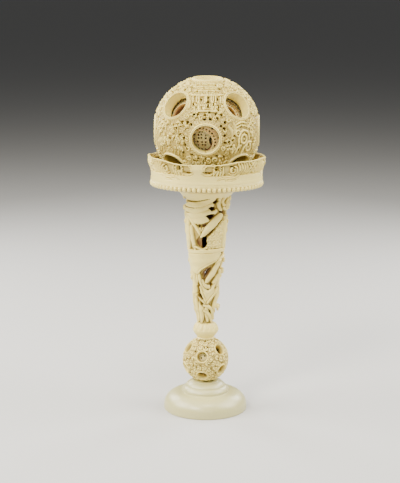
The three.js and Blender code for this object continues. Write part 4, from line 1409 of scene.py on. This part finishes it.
# The slanting bands, which are drawn once more over all the rest
STEM_WIDE_BANDS = [
    cord([(-60, 187), (-40, 180.6), (-25, 174.9), (-14, 168.4)], 3.6, 0.1),
    cord([(52, 190.6), (30, 184.2), (8, 177.2), (-14, 169.2)], 8.4, 0.1, rise=2.4, ends=0.2),
]
STEM_THIN_BANDS = [
    cord([(-27, 121), (-15, 112.6), (3, 104.4)], 3.2, 0),
    cord([(58, 118), (36, 111.8), (18, 107.6), (5, 104.4)], 3.8, 0.1),
    cord([(-44, 113), (-24, 109), (-4, 104.2)], 2.4, 0.1, rise=1),
]
STEM_STROKES = [
    cord([(-90, 188), (-92, 172), (-94, 156)], 10, -0.1),
    cord([(-66, 186), (-69, 170), (-74, 156)], 8.6, -0.1),
    cord([(-49, 178), (-47, 166), (-40, 157)], 5.6, -0.3),
    cord([(90, 187), (94, 171), (92, 156)], 8, -0.3),
    cord([(67, 189), (67, 175), (65, 164), (67, 155)], 7, 0),
    cord([(-24, 180.4), (-19, 176), (-16, 172)], 3.4, -0.6),
    cord([(-7, 181), (-9, 177), (-12, 173)], 3.2, -0.5),
    cord([(-38, 159), (-16, 156.6), (4, 158.4)], 3.2, -0.4),
    *STEM_WIDE_BANDS,
    cord([(70, 134), (70, 125), (66, 116), (54, 106)], 8, -0.2),
    cord([(90, 151), (90, 139), (88, 123), (80, 109)], 7, -0.4),
    cord([(-60, 139), (-57, 131), (-60, 122), (-69, 111), (-78, 99), (-84, 86)], 9.6, 0, rise=2.4),
    cord([(-92, 141), (-94, 125), (-100, 109), (-106, 91)], 8, -0.3),
    cord([(-42, 137), (-40, 130), (-42, 123)], 3.6, -0.5),
    cord([(-32, 134), (-24, 124.6), (-8, 117.4), (10, 114.8), (30, 118.2), (52, 126)], 5, -0.2),
    cord([(-16, 126.6), (-4, 121.6), (10, 120.2), (22, 121.4)], 4.4, -0.3),
    cord([(32, 124), (44, 126.4), (56, 131)], 4.4, -0.2),
    cord([(64, 148), (46, 141), (26, 133.4), (2, 125.6)], 6.4, 0, rise=2.2),
    cord([(88, 149.6), (64, 148.2), (50, 146.4), (38, 143)], 3.6, 0.1),
    cord([(-30, 104.6), (-24, 97), (-32, 86)], 6.4, -0.2),
    cord([(-58, 111), (-53, 99), (-58, 87)], 5.6, -0.4),
    cord([(8, 104), (4, 96), (12, 87)], 5.4, -0.2),
    cord([(74, 118), (60, 109.5), (46, 101), (50, 92)], 6, -0.1),
    cord([(-12, 102.6), (14, 101), (40, 94.8), (62, 88)], 4, 0),
    cord([(-10, 97), (12, 94.4), (32, 90.4), (44, 86)], 4, 0.1),
    *STEM_THIN_BANDS,
]
STEM_OVER = [
    strap(
        [(-100, 153.2), (-60, 153.8), (-20, 154.7), (20, 155.3), (60, 155.1), (100, 153.2)],
        3.4, -0.1, rise=0.6, ends=1,
    ),
    cord([(-60, 204.4), (-30, 204.4), (-8, 205.6), (12, 207.4)], 4, -0.3, **SOFT),
    cord([(-64, 198.4), (-30, 198.6), (2, 201.4), (18, 204.6)], 5.4, -0.2, **SOFT),
    cord([(-66, 193), (-30, 193.2), (-4, 195.6), (14, 199)], 5, -0.1, **SOFT),
    cord([(-68, 188), (-36, 187.8), (-10, 190), (8, 192.4), (24, 193)], 4.8, 0, **SOFT),
    cord([(38, 206), (35, 199), (42, 193.4)], 4.6, -0.1),
    cord([(74, 205), (58, 205.6), (48, 202), (52, 198), (62, 197.4)], 3.4, 0.1),
    cord([(92, 203), (80, 203.4), (70, 200), (70, 195.6), (82, 193.4)], 3.6, 0.2),
    cord([(50, 195.6), (62, 194), (78, 191)], 3.6, -0.2),
    cord([(96, 198), (96, 194), (104, 190)], 4.4, -0.1),
    cord([(-80, 205), (-82, 202), (-88, 200.4)], 4, 0),
    cord([(-80, 195), (-84, 191.7), (-88, 188)], 5, 0.1),
]
STEM_BEADS = [(40, 146), (17, 143.2), (5, 141.6), (-20, 137.2), (-32, 132.4)]
STEM_GROOVES = [
    ([(-2, 169), (11, 172.6), (27, 176.4), (46, 182.2)], 2.8, 2.2),
    ([(60, 149.4), (44, 146.2), (28, 143.6)], 1.6, 1.4),
    ([(46, 113), (33, 109.4), (14, 104.8)], 1.8, 1.2),
    ([(64, 193.7), (64, 198), (62, 203)], 1.4, 1.2),
    ([(-84, 156.8), (-28, 157.2), (10, 157.6), (62, 157)], 1.2, 0.8),
    ([(-40, 192), (-10, 192.8), (10, 194.8)], 2, 0.3),
]
# Level places: outline, top in mm and texture
STEM_PANELS_LOW = [
    ([(-2, 166), (10, 170), (27, 176.4), (46, 182), (60, 184), (60, 156), (4, 156.4), (0, 161)],
     -1.2, rough_leaves),
]
STEM_PANELS = [
    ([(-92, 152), (-84, 139.7), (-64, 136.7), (-46, 133.2), (-31, 132.1), (-20, 136.7), (5, 141.4),
      (17, 142.9), (36, 145.6), (55, 151.2), (56, 154), (-20, 153.4), (-60, 152)], -0.35, None),
    ([(-68, 190), (-29, 191), (8, 192.5), (24, 191.7), (27, 189.4), (20, 186.6), (5, 183.4),
      (-12, 181.2), (-30, 180.9), (-43, 182.3), (-58, 186.4)], -0.3, upright_lines),
    ([(-22, 117), (-14, 113.4), (-8, 109), (4, 105.6), (16, 108.4), (38, 113.7), (50, 118.2),
      (30, 116.2), (8, 113.6), (-10, 115.6)], -0.4, None),
]
# Places cut deep into the wall but not through it
STEM_HOLLOWS = [
    [(-36, 165), (-24, 168.6), (-12, 168.6), (-12, 158.4), (-26, 159.4), (-34, 161.6)],
    [(-20, 132.6), (-14, 135.4), (-4, 137), (4, 139.6), (14, 139), (22, 140.6), (24, 137.4), (8, 132),
     (-3, 127.4), (-12, 127)],
    [(14, 123.6), (24, 125.4), (31, 123), (21, 119.4)],
    [(-47, 121), (-30, 122), (-24, 116), (-36, 112)],
    [(-36, 108.6), (-16, 105.2), (-12, 101), (-24, 103)],
    [(-26, 180.2), (-19, 180.6), (-17, 177.6), (-23, 177.6)],
    [(-13, 180.6), (-2, 181.6), (-2, 178.6), (-11, 177.6)],
    [(-44, 182), (-36, 179.8), (-29, 175), (-33, 173.8), (-41, 177.2)],
    [(14, 99.4), (26, 97), (30, 94.6), (18, 96.2)],
]
STEM_HOLES = [
    [(0, 188.6), (13, 190.4), (26, 190), (19, 187), (8, 184.8)],
    [(6, 195.7), (13, 197.6), (23, 196.4), (22, 194.4), (13, 193.2)],
    [(17, 200.6), (24, 202.9), (33, 202.5), (28, 200.2), (22, 199.4)],
    [(-14, 167.2), (0, 169.4), (1, 162), (-6, 158.6), (-15, 157.9)],
    [(-4, 134.6), (-8, 131), (-7, 129), (0, 132), (10, 136), (18, 138), (12, 138.6), (4, 137)],
    [(-41, 124), (-28, 124.4), (-27, 121.4), (-38, 119.6)],
    [(-30, 118), (-20, 113.6), (-13, 109.6), (-20, 107.8), (-37, 111), (-36, 115)],
    [(46, 199.7), (49, 196.7), (48, 193.5), (44, 194.3), (43, 197.7)],
    [(88, 173.7), (94, 173.7), (97, 168.7), (94, 163.7), (89, 164.7)],
    [(90, 139.7), (97, 140.7), (101, 133.7), (95, 129.7), (91, 132.7)],
    [(172, 174.7), (188, 175.7), (190, 169.7), (182, 166.7), (172, 169.7)],
    [(176, 139.7), (190, 140.7), (193, 133.7), (186, 128.7), (177, 131.7)],
]
STEM_NOTCHES = [
    [(34, 193.4), (46, 193.2), (62, 192.4), (112, 193.2), (112, 185.4), (66, 186), (48, 188.4)],
    [(-112, 204.2), (-72, 202.6), (-58, 200.2), (-64, 198.4), (-112, 197.4)],
    [(-110, 85.1), (-76, 83.9), (-76, 83.1), (-110, 81.7)],
]
# Curls that stand out at the sides: degrees, height, radius, how far out
STEM_CURLS = [
    (90, 144.4, 2.5, 0.6), (84, 134.2, 2.8, 1), (96, 129, 2, 0.2), (66, 100.5, 2.6, 0.9),
    (84, 97.3, 2, 0.4), (88, 181, 2, 0.1), (-88, 181, 2, 0.3), (-90, 127.6, 2.4, 0.4),
    (-96, 143.7, 2.2, 0.2), (-104, 131.7, 2.4, 0.2), (84, 203.3, 2.6, 0.6), (94, 197.1, 2.6, 0.4),
    (-90, 193.7, 2.2, 0.4), (150, 183.7, 2.6, 0), (210, 181.7, 2.6, 0), (160, 147.7, 2.4, 0),
]


def curl(shape, degrees, height, radius, reach):
    """Adds a curled leaf: a ring round a knob."""
    place = placed(np.array([degrees]), np.array([reach]), np.array([height]))[0]
    turn = Matrix.Rotation(math.radians(degrees), 4, "Z") @ Matrix.Rotation(math.radians(90), 4, "X")
    seat = Matrix.Translation(Vector(place)) @ turn
    knob = bmesh.new()
    bmesh.ops.create_icosphere(knob, subdivisions=2, radius=radius * 0.5)
    bmesh.ops.scale(knob, vec=(1, 1, 1.3), verts=knob.verts[:])
    add_part(shape, knob, seat)
    corners = 10
    section = []
    for i in range(corners):
        angle = math.tau * i / corners
        section.append((radius * 0.78 + radius * 0.3 * math.cos(angle), radius * 0.5 * math.sin(angle)))
    add_part(shape, turned(section, 20, closed=True), seat)


def carve_stem_side(carving, side):
    """The forms of one side; side moves a route given for the front."""
    def draw(strokes):
        for form, route, width, top, more in strokes:
            carving.stroke(side(route), width, top, form, **{**DRAPED, **more})

    for outline, top, texture in STEM_PANELS_LOW:
        carving.panel(side(outline), top, texture)
    draw(STEM_STROKES)
    for outline, top, texture in STEM_PANELS:
        carving.panel(side(outline), top, texture)
    for outline in STEM_HOLLOWS:
        carving.panel(side(outline), STEM_HOLLOW_TOP)
    draw(STEM_OVER)
    carving.stroke(side(STEM_BEADS), 1.8, 0.1, beads=1.5)
    draw(STEM_WIDE_BANDS + STEM_THIN_BANDS)
    for route, width, depth in STEM_GROOVES:
        carving.groove(side(route), width, depth)


def stem_radius(heights):
    """The plain stem's radius at each height."""
    return np.interp(heights, *zip(*STEM_SILHOUETTE))


def stem_level(carving):
    """The carving with the knop and the neck below it and the plain flare above, in mm."""
    z = carving.heights
    turn = np.radians(carving.degrees)
    knop = -0.1 - 0.9 * smoothstep(76.6, 79, z) * (0.5 - 0.5 * np.cos(KNOP_LOBES * turn)) ** 2
    for height, width, depth in KNOP_LINES:
        knop -= depth * np.exp(-((z - height) / width) ** 2)
    level = np.where(z < 84.1, knop, carving.level)
    join = smoothstep(82.5, 85.1, z)
    level = np.where(z < 85.1, knop * (1 - join) + carving.level * join, level)
    flare = -0.1 - 0.15 * (0.5 + 0.5 * np.cos(math.tau * z / 1.8))
    return level + (flare - level) * smoothstep(204.3, 206.1, z)


def make_stem():
    profile = [(0, SMALL_Z + SMALL_RADIUS + CLEARANCE)]
    for radius in (3, 6, 8.3):
        profile.append((radius, SMALL_Z + math.sqrt((SMALL_RADIUS + CLEARANCE) ** 2 - radius ** 2)))
    for z in np.linspace(STEM_FROM, STEM_TO, STEM_ROWS):
        profile.append((float(stem_radius(z)), float(z)))
    profile += [(STEM_TOP_RADIUS, STEM_TOP), (13, STEM_TOP), (0, STEM_TOP)]
    mesh = mesh_from(turned(profile, STEM_COLUMNS))
    places = points_of(mesh)
    degrees, radii = front_dense(places, STEM_FRONT_SHARE)
    heights = places[:, 2]
    outside = (heights >= STEM_FROM - 0.01) & (heights <= STEM_TO + 0.01) & (radii > 8)
    carving = Carving(degrees[outside], heights[outside], radii[outside], STEM_GROUND)
    carve_stem_side(carving, lambda route: [(180 - degrees, height) for degrees, height in route])
    carve_stem_side(carving, lambda route: route)
    uneven = np.sin(carving.heights * 0.62 + carving.degrees * 0.05)
    carving.level += 0.35 * uneven * np.sin(carving.degrees * 0.085 - carving.heights * 0.21 + 1) - 0.1
    depth = np.zeros(len(places))
    depth[outside] = -stem_level(carving)
    set_points(mesh, placed(degrees, radii - depth, heights))
    bore = [(0, STEM_BORE_FROM - 2)]
    for z in np.linspace(STEM_BORE_FROM, STEM_BORE_TO, STEM_BORE_ROWS):
        bore.append((float(stem_radius(z)) - STEM_BORE_WALL, float(z)))
    bore.append((0, STEM_BORE_TO))
    stem = combined(mesh, mesh_from(turned(bore, STEM_BORE_COLUMNS)), "DIFFERENCE")
    holes = [widened(hole, STEM_HOLE_MARGIN) for hole in STEM_HOLES]
    stem = combined(stem, radial_cutter(holes, outer=30, inner=7), "DIFFERENCE")
    stem = combined(stem, radial_cutter(STEM_NOTCHES, outer=40, inner=12), "DIFFERENCE")
    curls = bmesh.new()
    for degrees, height, radius, out in STEM_CURLS:
        reach = float(stem_radius(height)) - radius * 0.5 + out * 1.4
        curl(curls, degrees, height, radius, reach)
    stem = combined(stem, mesh_from(curls), "UNION")
    places = points_of(stem)
    z = places[:, 2]
    depth = stem_radius(z) - np.hypot(places[:, 0], places[:, 1])
    # Patina and painted shade, darker the deeper into the openwork and the bore
    hollow = patina_and_shade_by_depth(depth, (0.9, 2, 0.46), (3, 2, 0.5))
    # The flat ends, under the cup and on the small ball, get only a little patina and painted shade
    hollow[(z < 69) | (z > 210.2)] = 0.1
    set_down(stem, "openwork_stem", "stem", CARVED, hollow)


# Dish: seat and well, beads, plain band, and a pierced gallery with a leafy rim


DISH_COLUMNS = 620
DISH_FRONT_SHARE = 0.4
DISH_BAND_RADIUS = 51.8
DISH_RIM_RADIUS = 54.3
DISH_FLARE = 2.45
DISH_WELL = 5.5
DISH_WELL_ROUNDING = 6.5
BEAD_COUNT = 70
BEAD_RADIUS = 1.95
BEAD_PLACE = DISH_BASE + 5.9
BEAD_ROOT = DISH_BAND_RADIUS + 0.7 - 1.9
BAND_BASE = DISH_BASE + 10.5
GALLERY_BASE = DISH_BASE + 17.9
GALLERY_HEIGHT = 12.8
GALLERY_TOP = GALLERY_BASE + GALLERY_HEIGHT
GALLERY_GROUND = -2.1
GALLERY_MOTIFS = 3
GALLERY_TURN = -9
LEAF_WAVE = 1.6
LEAF_NICK = 0.3
LEAF_NICKS = 54
RIM_LEAN = 1.2

# One half of a motif: route in degrees from its middle and mm over the gallery's foot, width, top
GALLERY_STROKES = [
    ([(9, 12), (6.5, 9), (7, 6.5)], 1.6, -0.1),
    ([(16, 7.4), (16.4, 4), (15.6, 0.6)], 1.7, -0.1),
    ([(19.4, 5.4), (19.6, 3), (18.6, 0.3)], 1.7, 0),
    ([(23, 6.4), (22.8, 3.4), (22, 0.4)], 1.7, -0.1),
    ([(25, 10.6), (25.2, 6.8), (25, 3), (24.6, 0.4)], 1.4, -0.2),
    ([(41, 11.6), (43.4, 6.5), (40.6, 0.8)], 1.5, 0),
    ([(44, 12), (46.4, 6.5), (43.4, 0.6)], 1.5, -0.1),
    ([(47, 12.4), (49.4, 6.6), (46.4, 0.6)], 1.5, 0),
    ([(50, 12.4), (52.4, 6.8), (49.6, 1)], 1.5, -0.1),
    ([(52, 1.6), (55, 5), (60, 9.4)], 1.5, 0),
    ([(54.6, 0.6), (58, 3.6), (62, 6.8)], 1.5, -0.1),
    ([(53.4, 12.6), (55.6, 9.4), (60, 5.4)], 1.4, -0.2),
    ([(57, 12.6), (58.4, 11), (61.6, 8.6)], 1.4, 0),
    ([(20, -3.4), (25, -1.4), (35, -1.8), (42.5, 0.9), (45, 4)], 1.3, 0.1),
    ([(28, -3.8), (36, -3.4), (43.4, -1.2)], 1.1, 0),
    ([(4.4, 3), (7.6, 1.7), (11.6, 1.4), (15, 2.6)], 1.3, 0),
]
# Its round piercing: degrees, mm over the foot, size in mm
ROSETTE = (19, 7.9, 4.9)
ROSETTE_PETALS = 9
SCROLL_CENTRE = (36, 5.6)
GALLERY_PIERCINGS = [
    [(4.2, 4.9), (5.8, 3.2), (8.6, 2.5), (11.6, 2.5), (14.2, 3.2), (15.2, 4.9), (12.6, 4.5),
     (9.6, 4.5), (7, 4.7)],
    [(26.2, 0.8), (29, 0.8), (28, 3.8)],
    [(31.6, 9.4), (35, 10), (37.6, 8.4), (37, 6.6), (34.4, 6.2), (33, 7), (35, 8), (33.6, 8.6), (31.8, 8.2)],
]


def leaf_edge(degrees):
    """How far the rim's leaves rise at each place, in mm."""
    phase = np.radians((degrees - GALLERY_TURN) * GALLERY_MOTIFS)
    leaves = 0.25 * np.cos(3 * phase) - 0.75 * np.cos(phase)
    fine = LEAF_NICK * (np.abs(np.sin(np.radians(degrees) * LEAF_NICKS / 2)) - 1)
    return LEAF_WAVE * leaves - RIM_LEAN * np.cos(np.radians(degrees)) + fine


def gallery_spots():
    """The middle of each motif and the hand of each of its halves."""
    for motif in range(GALLERY_MOTIFS):
        for hand in (-1, 1):
            yield GALLERY_TURN + 360 * motif / GALLERY_MOTIFS, hand


def spiral(turns, start, wide, narrow):
    """A spiral route about the scroll's centre, in degrees and mm."""
    steps = 14
    route = []
    for i in range(steps + 1):
        t = i / steps
        turn = math.radians(start) + math.tau * turns * t
        reach = wide + (narrow - wide) * t
        x = SCROLL_CENTRE[0] + math.degrees(reach * math.cos(turn) / DISH_RIM_RADIUS)
        route.append((x, SCROLL_CENTRE[1] + reach * math.sin(turn)))
    return route


def dish_seat_height(radius):
    seat = BALL_RADIUS + CLEARANCE + 0.4
    return BALL_Z - math.sqrt(seat ** 2 - radius ** 2)


def dish_flare(heights):
    """The gallery's plain radius at each height."""
    return DISH_BAND_RADIUS + DISH_FLARE * smoothstep(0, 0.62, (heights - GALLERY_BASE) / GALLERY_HEIGHT)


def dish_profile():
    """The dish's section: underside, bead root, band, gallery, rim, inside, well and seat."""
    base = DISH_BASE
    foot, hollow = 29, BEAD_ROOT - 1.2
    profile = [(0, base), (14, base), (27, base), (foot, base + 0.05)]
    for i in range(1, 8):
        t = i / 8
        profile.append((foot + (hollow - foot) * t, base + 0.05 + 3.8 * t ** 1.4))
    profile += [(hollow, base + 4.2), (BEAD_ROOT - 1, base + 6), (BEAD_ROOT + 0.1, base + 7.3)]
    low, high = BEAD_ROOT + 0.5, DISH_BAND_RADIUS - 0.7
    for i in range(13):
        t = i / 12
        swell = 0.55 * abs(math.sin(math.pi * 2.5 * t)) ** 0.7
        profile.append((low + (high - low) * t + swell, base + 7.5 + 3 * t))
    for i in range(1, 18):
        t = i / 18
        profile.append((DISH_BAND_RADIUS - 0.4 * math.sin(math.pi * t), BAND_BASE + 7.4 * t))
    rows = 38
    for i in range(rows + 1):
        height = GALLERY_BASE + GALLERY_HEIGHT * i / rows
        profile.append((float(dish_flare(height)), height))
    top, rim = GALLERY_TOP, DISH_RIM_RADIUS - 0.05
    inside = rim - 2.9
    profile += [(rim - 0.5, top + 0.25), (rim - 1.4, top + 0.2), (rim - 2.4, top - 0.1)]
    profile.append((inside, top - 0.6))
    for i in range(1, 10):
        t = i / 9
        profile.append((inside - 2.6 * float(smoothstep(0.4, 1, t)), top - 0.6 - 11.6 * t))
    wall, well, rounding = DISH_BAND_RADIUS - 3, base + DISH_WELL, DISH_WELL_ROUNDING
    for i in range(1, 8):
        turn = math.pi / 2 * i / 7
        across, up = rounding * math.cos(turn), rounding * math.sin(turn)
        profile.append((wall - rounding + across, well + rounding - up))
    edge = dish_seat_height(27)
    profile += [(38, well), (33.4, well), (30.4, edge - 0.1), (29.8, edge), (27, edge)]
    profile += [(radius, dish_seat_height(radius)) for radius in (25, 23, 21, 19.2)]
    floor = base + DISH_FLOOR
    profile += [(18.6, dish_seat_height(18.6) - 0.3), (18.6, floor), (9, floor), (0, floor)]
    return profile


def gallery_routes():
    """The strokes of half a motif: its rays and bands, its scroll and its rosette."""
    scroll = spiral(turns=1.7, start=-150, wide=4.9, narrow=0.9)
    routes = [*GALLERY_STROKES, (scroll, 1.5, 0.05)]
    place, height, size = ROSETTE
    for i in range(ROSETTE_PETALS):
        turn = math.tau * i / ROSETTE_PETALS + 0.2
        out = math.degrees(math.cos(turn) / DISH_RIM_RADIUS)
        up = math.sin(turn)
        petal = [
            (place + out * (size / 2 + across), height + up * (size / 2 + rise))
            for across, rise in ((0.35, 0.35), (1.2, 1.2), (1.7, 1.9))
        ]
        routes.append((petal, 1.7, -0.05))
    return routes


def carve_gallery(carving):
    """Turned lines on the band, and over it the sunk gallery with its motifs."""
    base = smoothstep(GALLERY_BASE + 0.2, GALLERY_BASE + 1.2, carving.heights)
    middle = np.ones(len(base))
    for motif in range(GALLERY_MOTIFS):
        away = np.abs(wrapped(carving.degrees - GALLERY_TURN - 360 * motif / GALLERY_MOTIFS))
        middle = np.minimum(middle, smoothstep(5.5, 8, away))
    turned_lines = 0.12 * (0.5 + 0.5 * np.cos(math.tau * carving.heights / 1.9))
    carving.level = GALLERY_GROUND * base * middle - turned_lines * (1 - base)
    routes = gallery_routes()
    for centre, hand in gallery_spots():
        for route, width, rise in routes:
            route = [(centre + hand * x, GALLERY_BASE + z) for x, z in route]
            carving.stroke(route, width * 1.2, rise, rise=1.9, ends=0.4, groove=0.5)
    carving.level *= 1 - smoothstep(GALLERY_TOP - 1.3, GALLERY_TOP - 0.5, carving.heights)


def gallery_cutters():
    place, height, size = ROSETTE
    outlines = []
    for centre, hand in gallery_spots():
        for outline in GALLERY_PIERCINGS:
            outlines.append([(centre + hand * x, GALLERY_BASE + z) for x, z in outline])
        outlines.append(circle(centre + hand * place, GALLERY_BASE + height, size, DISH_RIM_RADIUS))
    return radial_cutter(outlines, outer=60, inner=44, squeeze=0.95)


def bead_row():
    """The beads round the dish's foot, a little taller than wide."""
    beads = bmesh.new()
    reach = DISH_BAND_RADIUS + 0.7 - BEAD_RADIUS
    for i in range(BEAD_COUNT):
        turn = math.tau * (i + 0.5) / BEAD_COUNT
        place = Matrix.Translation((reach * math.sin(turn), -reach * math.cos(turn), BEAD_PLACE))
        bmesh.ops.create_uvsphere(
            beads,
            u_segments=8,
            v_segments=6,
            radius=1,
            matrix=place @ Matrix.Diagonal((BEAD_RADIUS, BEAD_RADIUS, 2.3, 1)),
        )
    return mesh_from(beads)


def make_dish():
    mesh = mesh_from(turned(dish_profile(), DISH_COLUMNS))
    places = points_of(mesh)
    degrees, radii = front_dense(places, DISH_FRONT_SHARE)
    heights = places[:, 2]
    outside = (radii > DISH_BAND_RADIUS - 0.6) & (heights > BAND_BASE) & (heights < GALLERY_TOP + 0.1)
    carving = Carving(degrees[outside], heights[outside], radii[outside], 0)
    carve_gallery(carving)
    radii[outside] += np.minimum(carving.level, DISH_RIM_RADIUS - 0.02 - radii[outside])
    wave = smoothstep(GALLERY_BASE + 0.35 * GALLERY_HEIGHT, GALLERY_TOP, heights) * (radii > 47)
    set_points(mesh, placed(degrees, radii, heights + wave * leaf_edge(degrees)))
    dish = combined(mesh, gallery_cutters(), "DIFFERENCE")
    dish = combined(dish, bead_row(), "UNION")
    places = points_of(dish)
    away = np.hypot(places[:, 0], places[:, 1])
    z = places[:, 2]
    depth = np.where(z > BAND_BASE - 0.5, dish_flare(z) - away, 0)
    # Patina and painted shade: darker down into the gallery's ground and piercings
    hollow = patina_and_shade_by_depth(depth, (0.5, 1.8, 0.34), (2.2, 1.4, 0.55))
    # Painted shade under the dish and in its well and seat, under the ball
    hollow = np.where((z < BAND_BASE) & (away < BEAD_ROOT - 0.4), 0.5, hollow)
    # Less painted shade up the dish's inner wall
    hollow = np.where((z > BAND_BASE) & (away < BEAD_ROOT), 0.2, hollow)
    set_down(dish, "pierced_dish", "dish", CARVED, hollow)


make_foot()
make_stem()
make_dish()
make_small_shell()
make_small_core()
make_outer_shell()
make_nested("ball_second_shell", "second_shell")
make_nested("ball_third_shell", "third_shell")
make_nested("ball_innermost_shell", "innermost_shell")
for left_over in [mesh for mesh in bpy.data.meshes if not mesh.users]:
    bpy.data.meshes.remove(left_over)
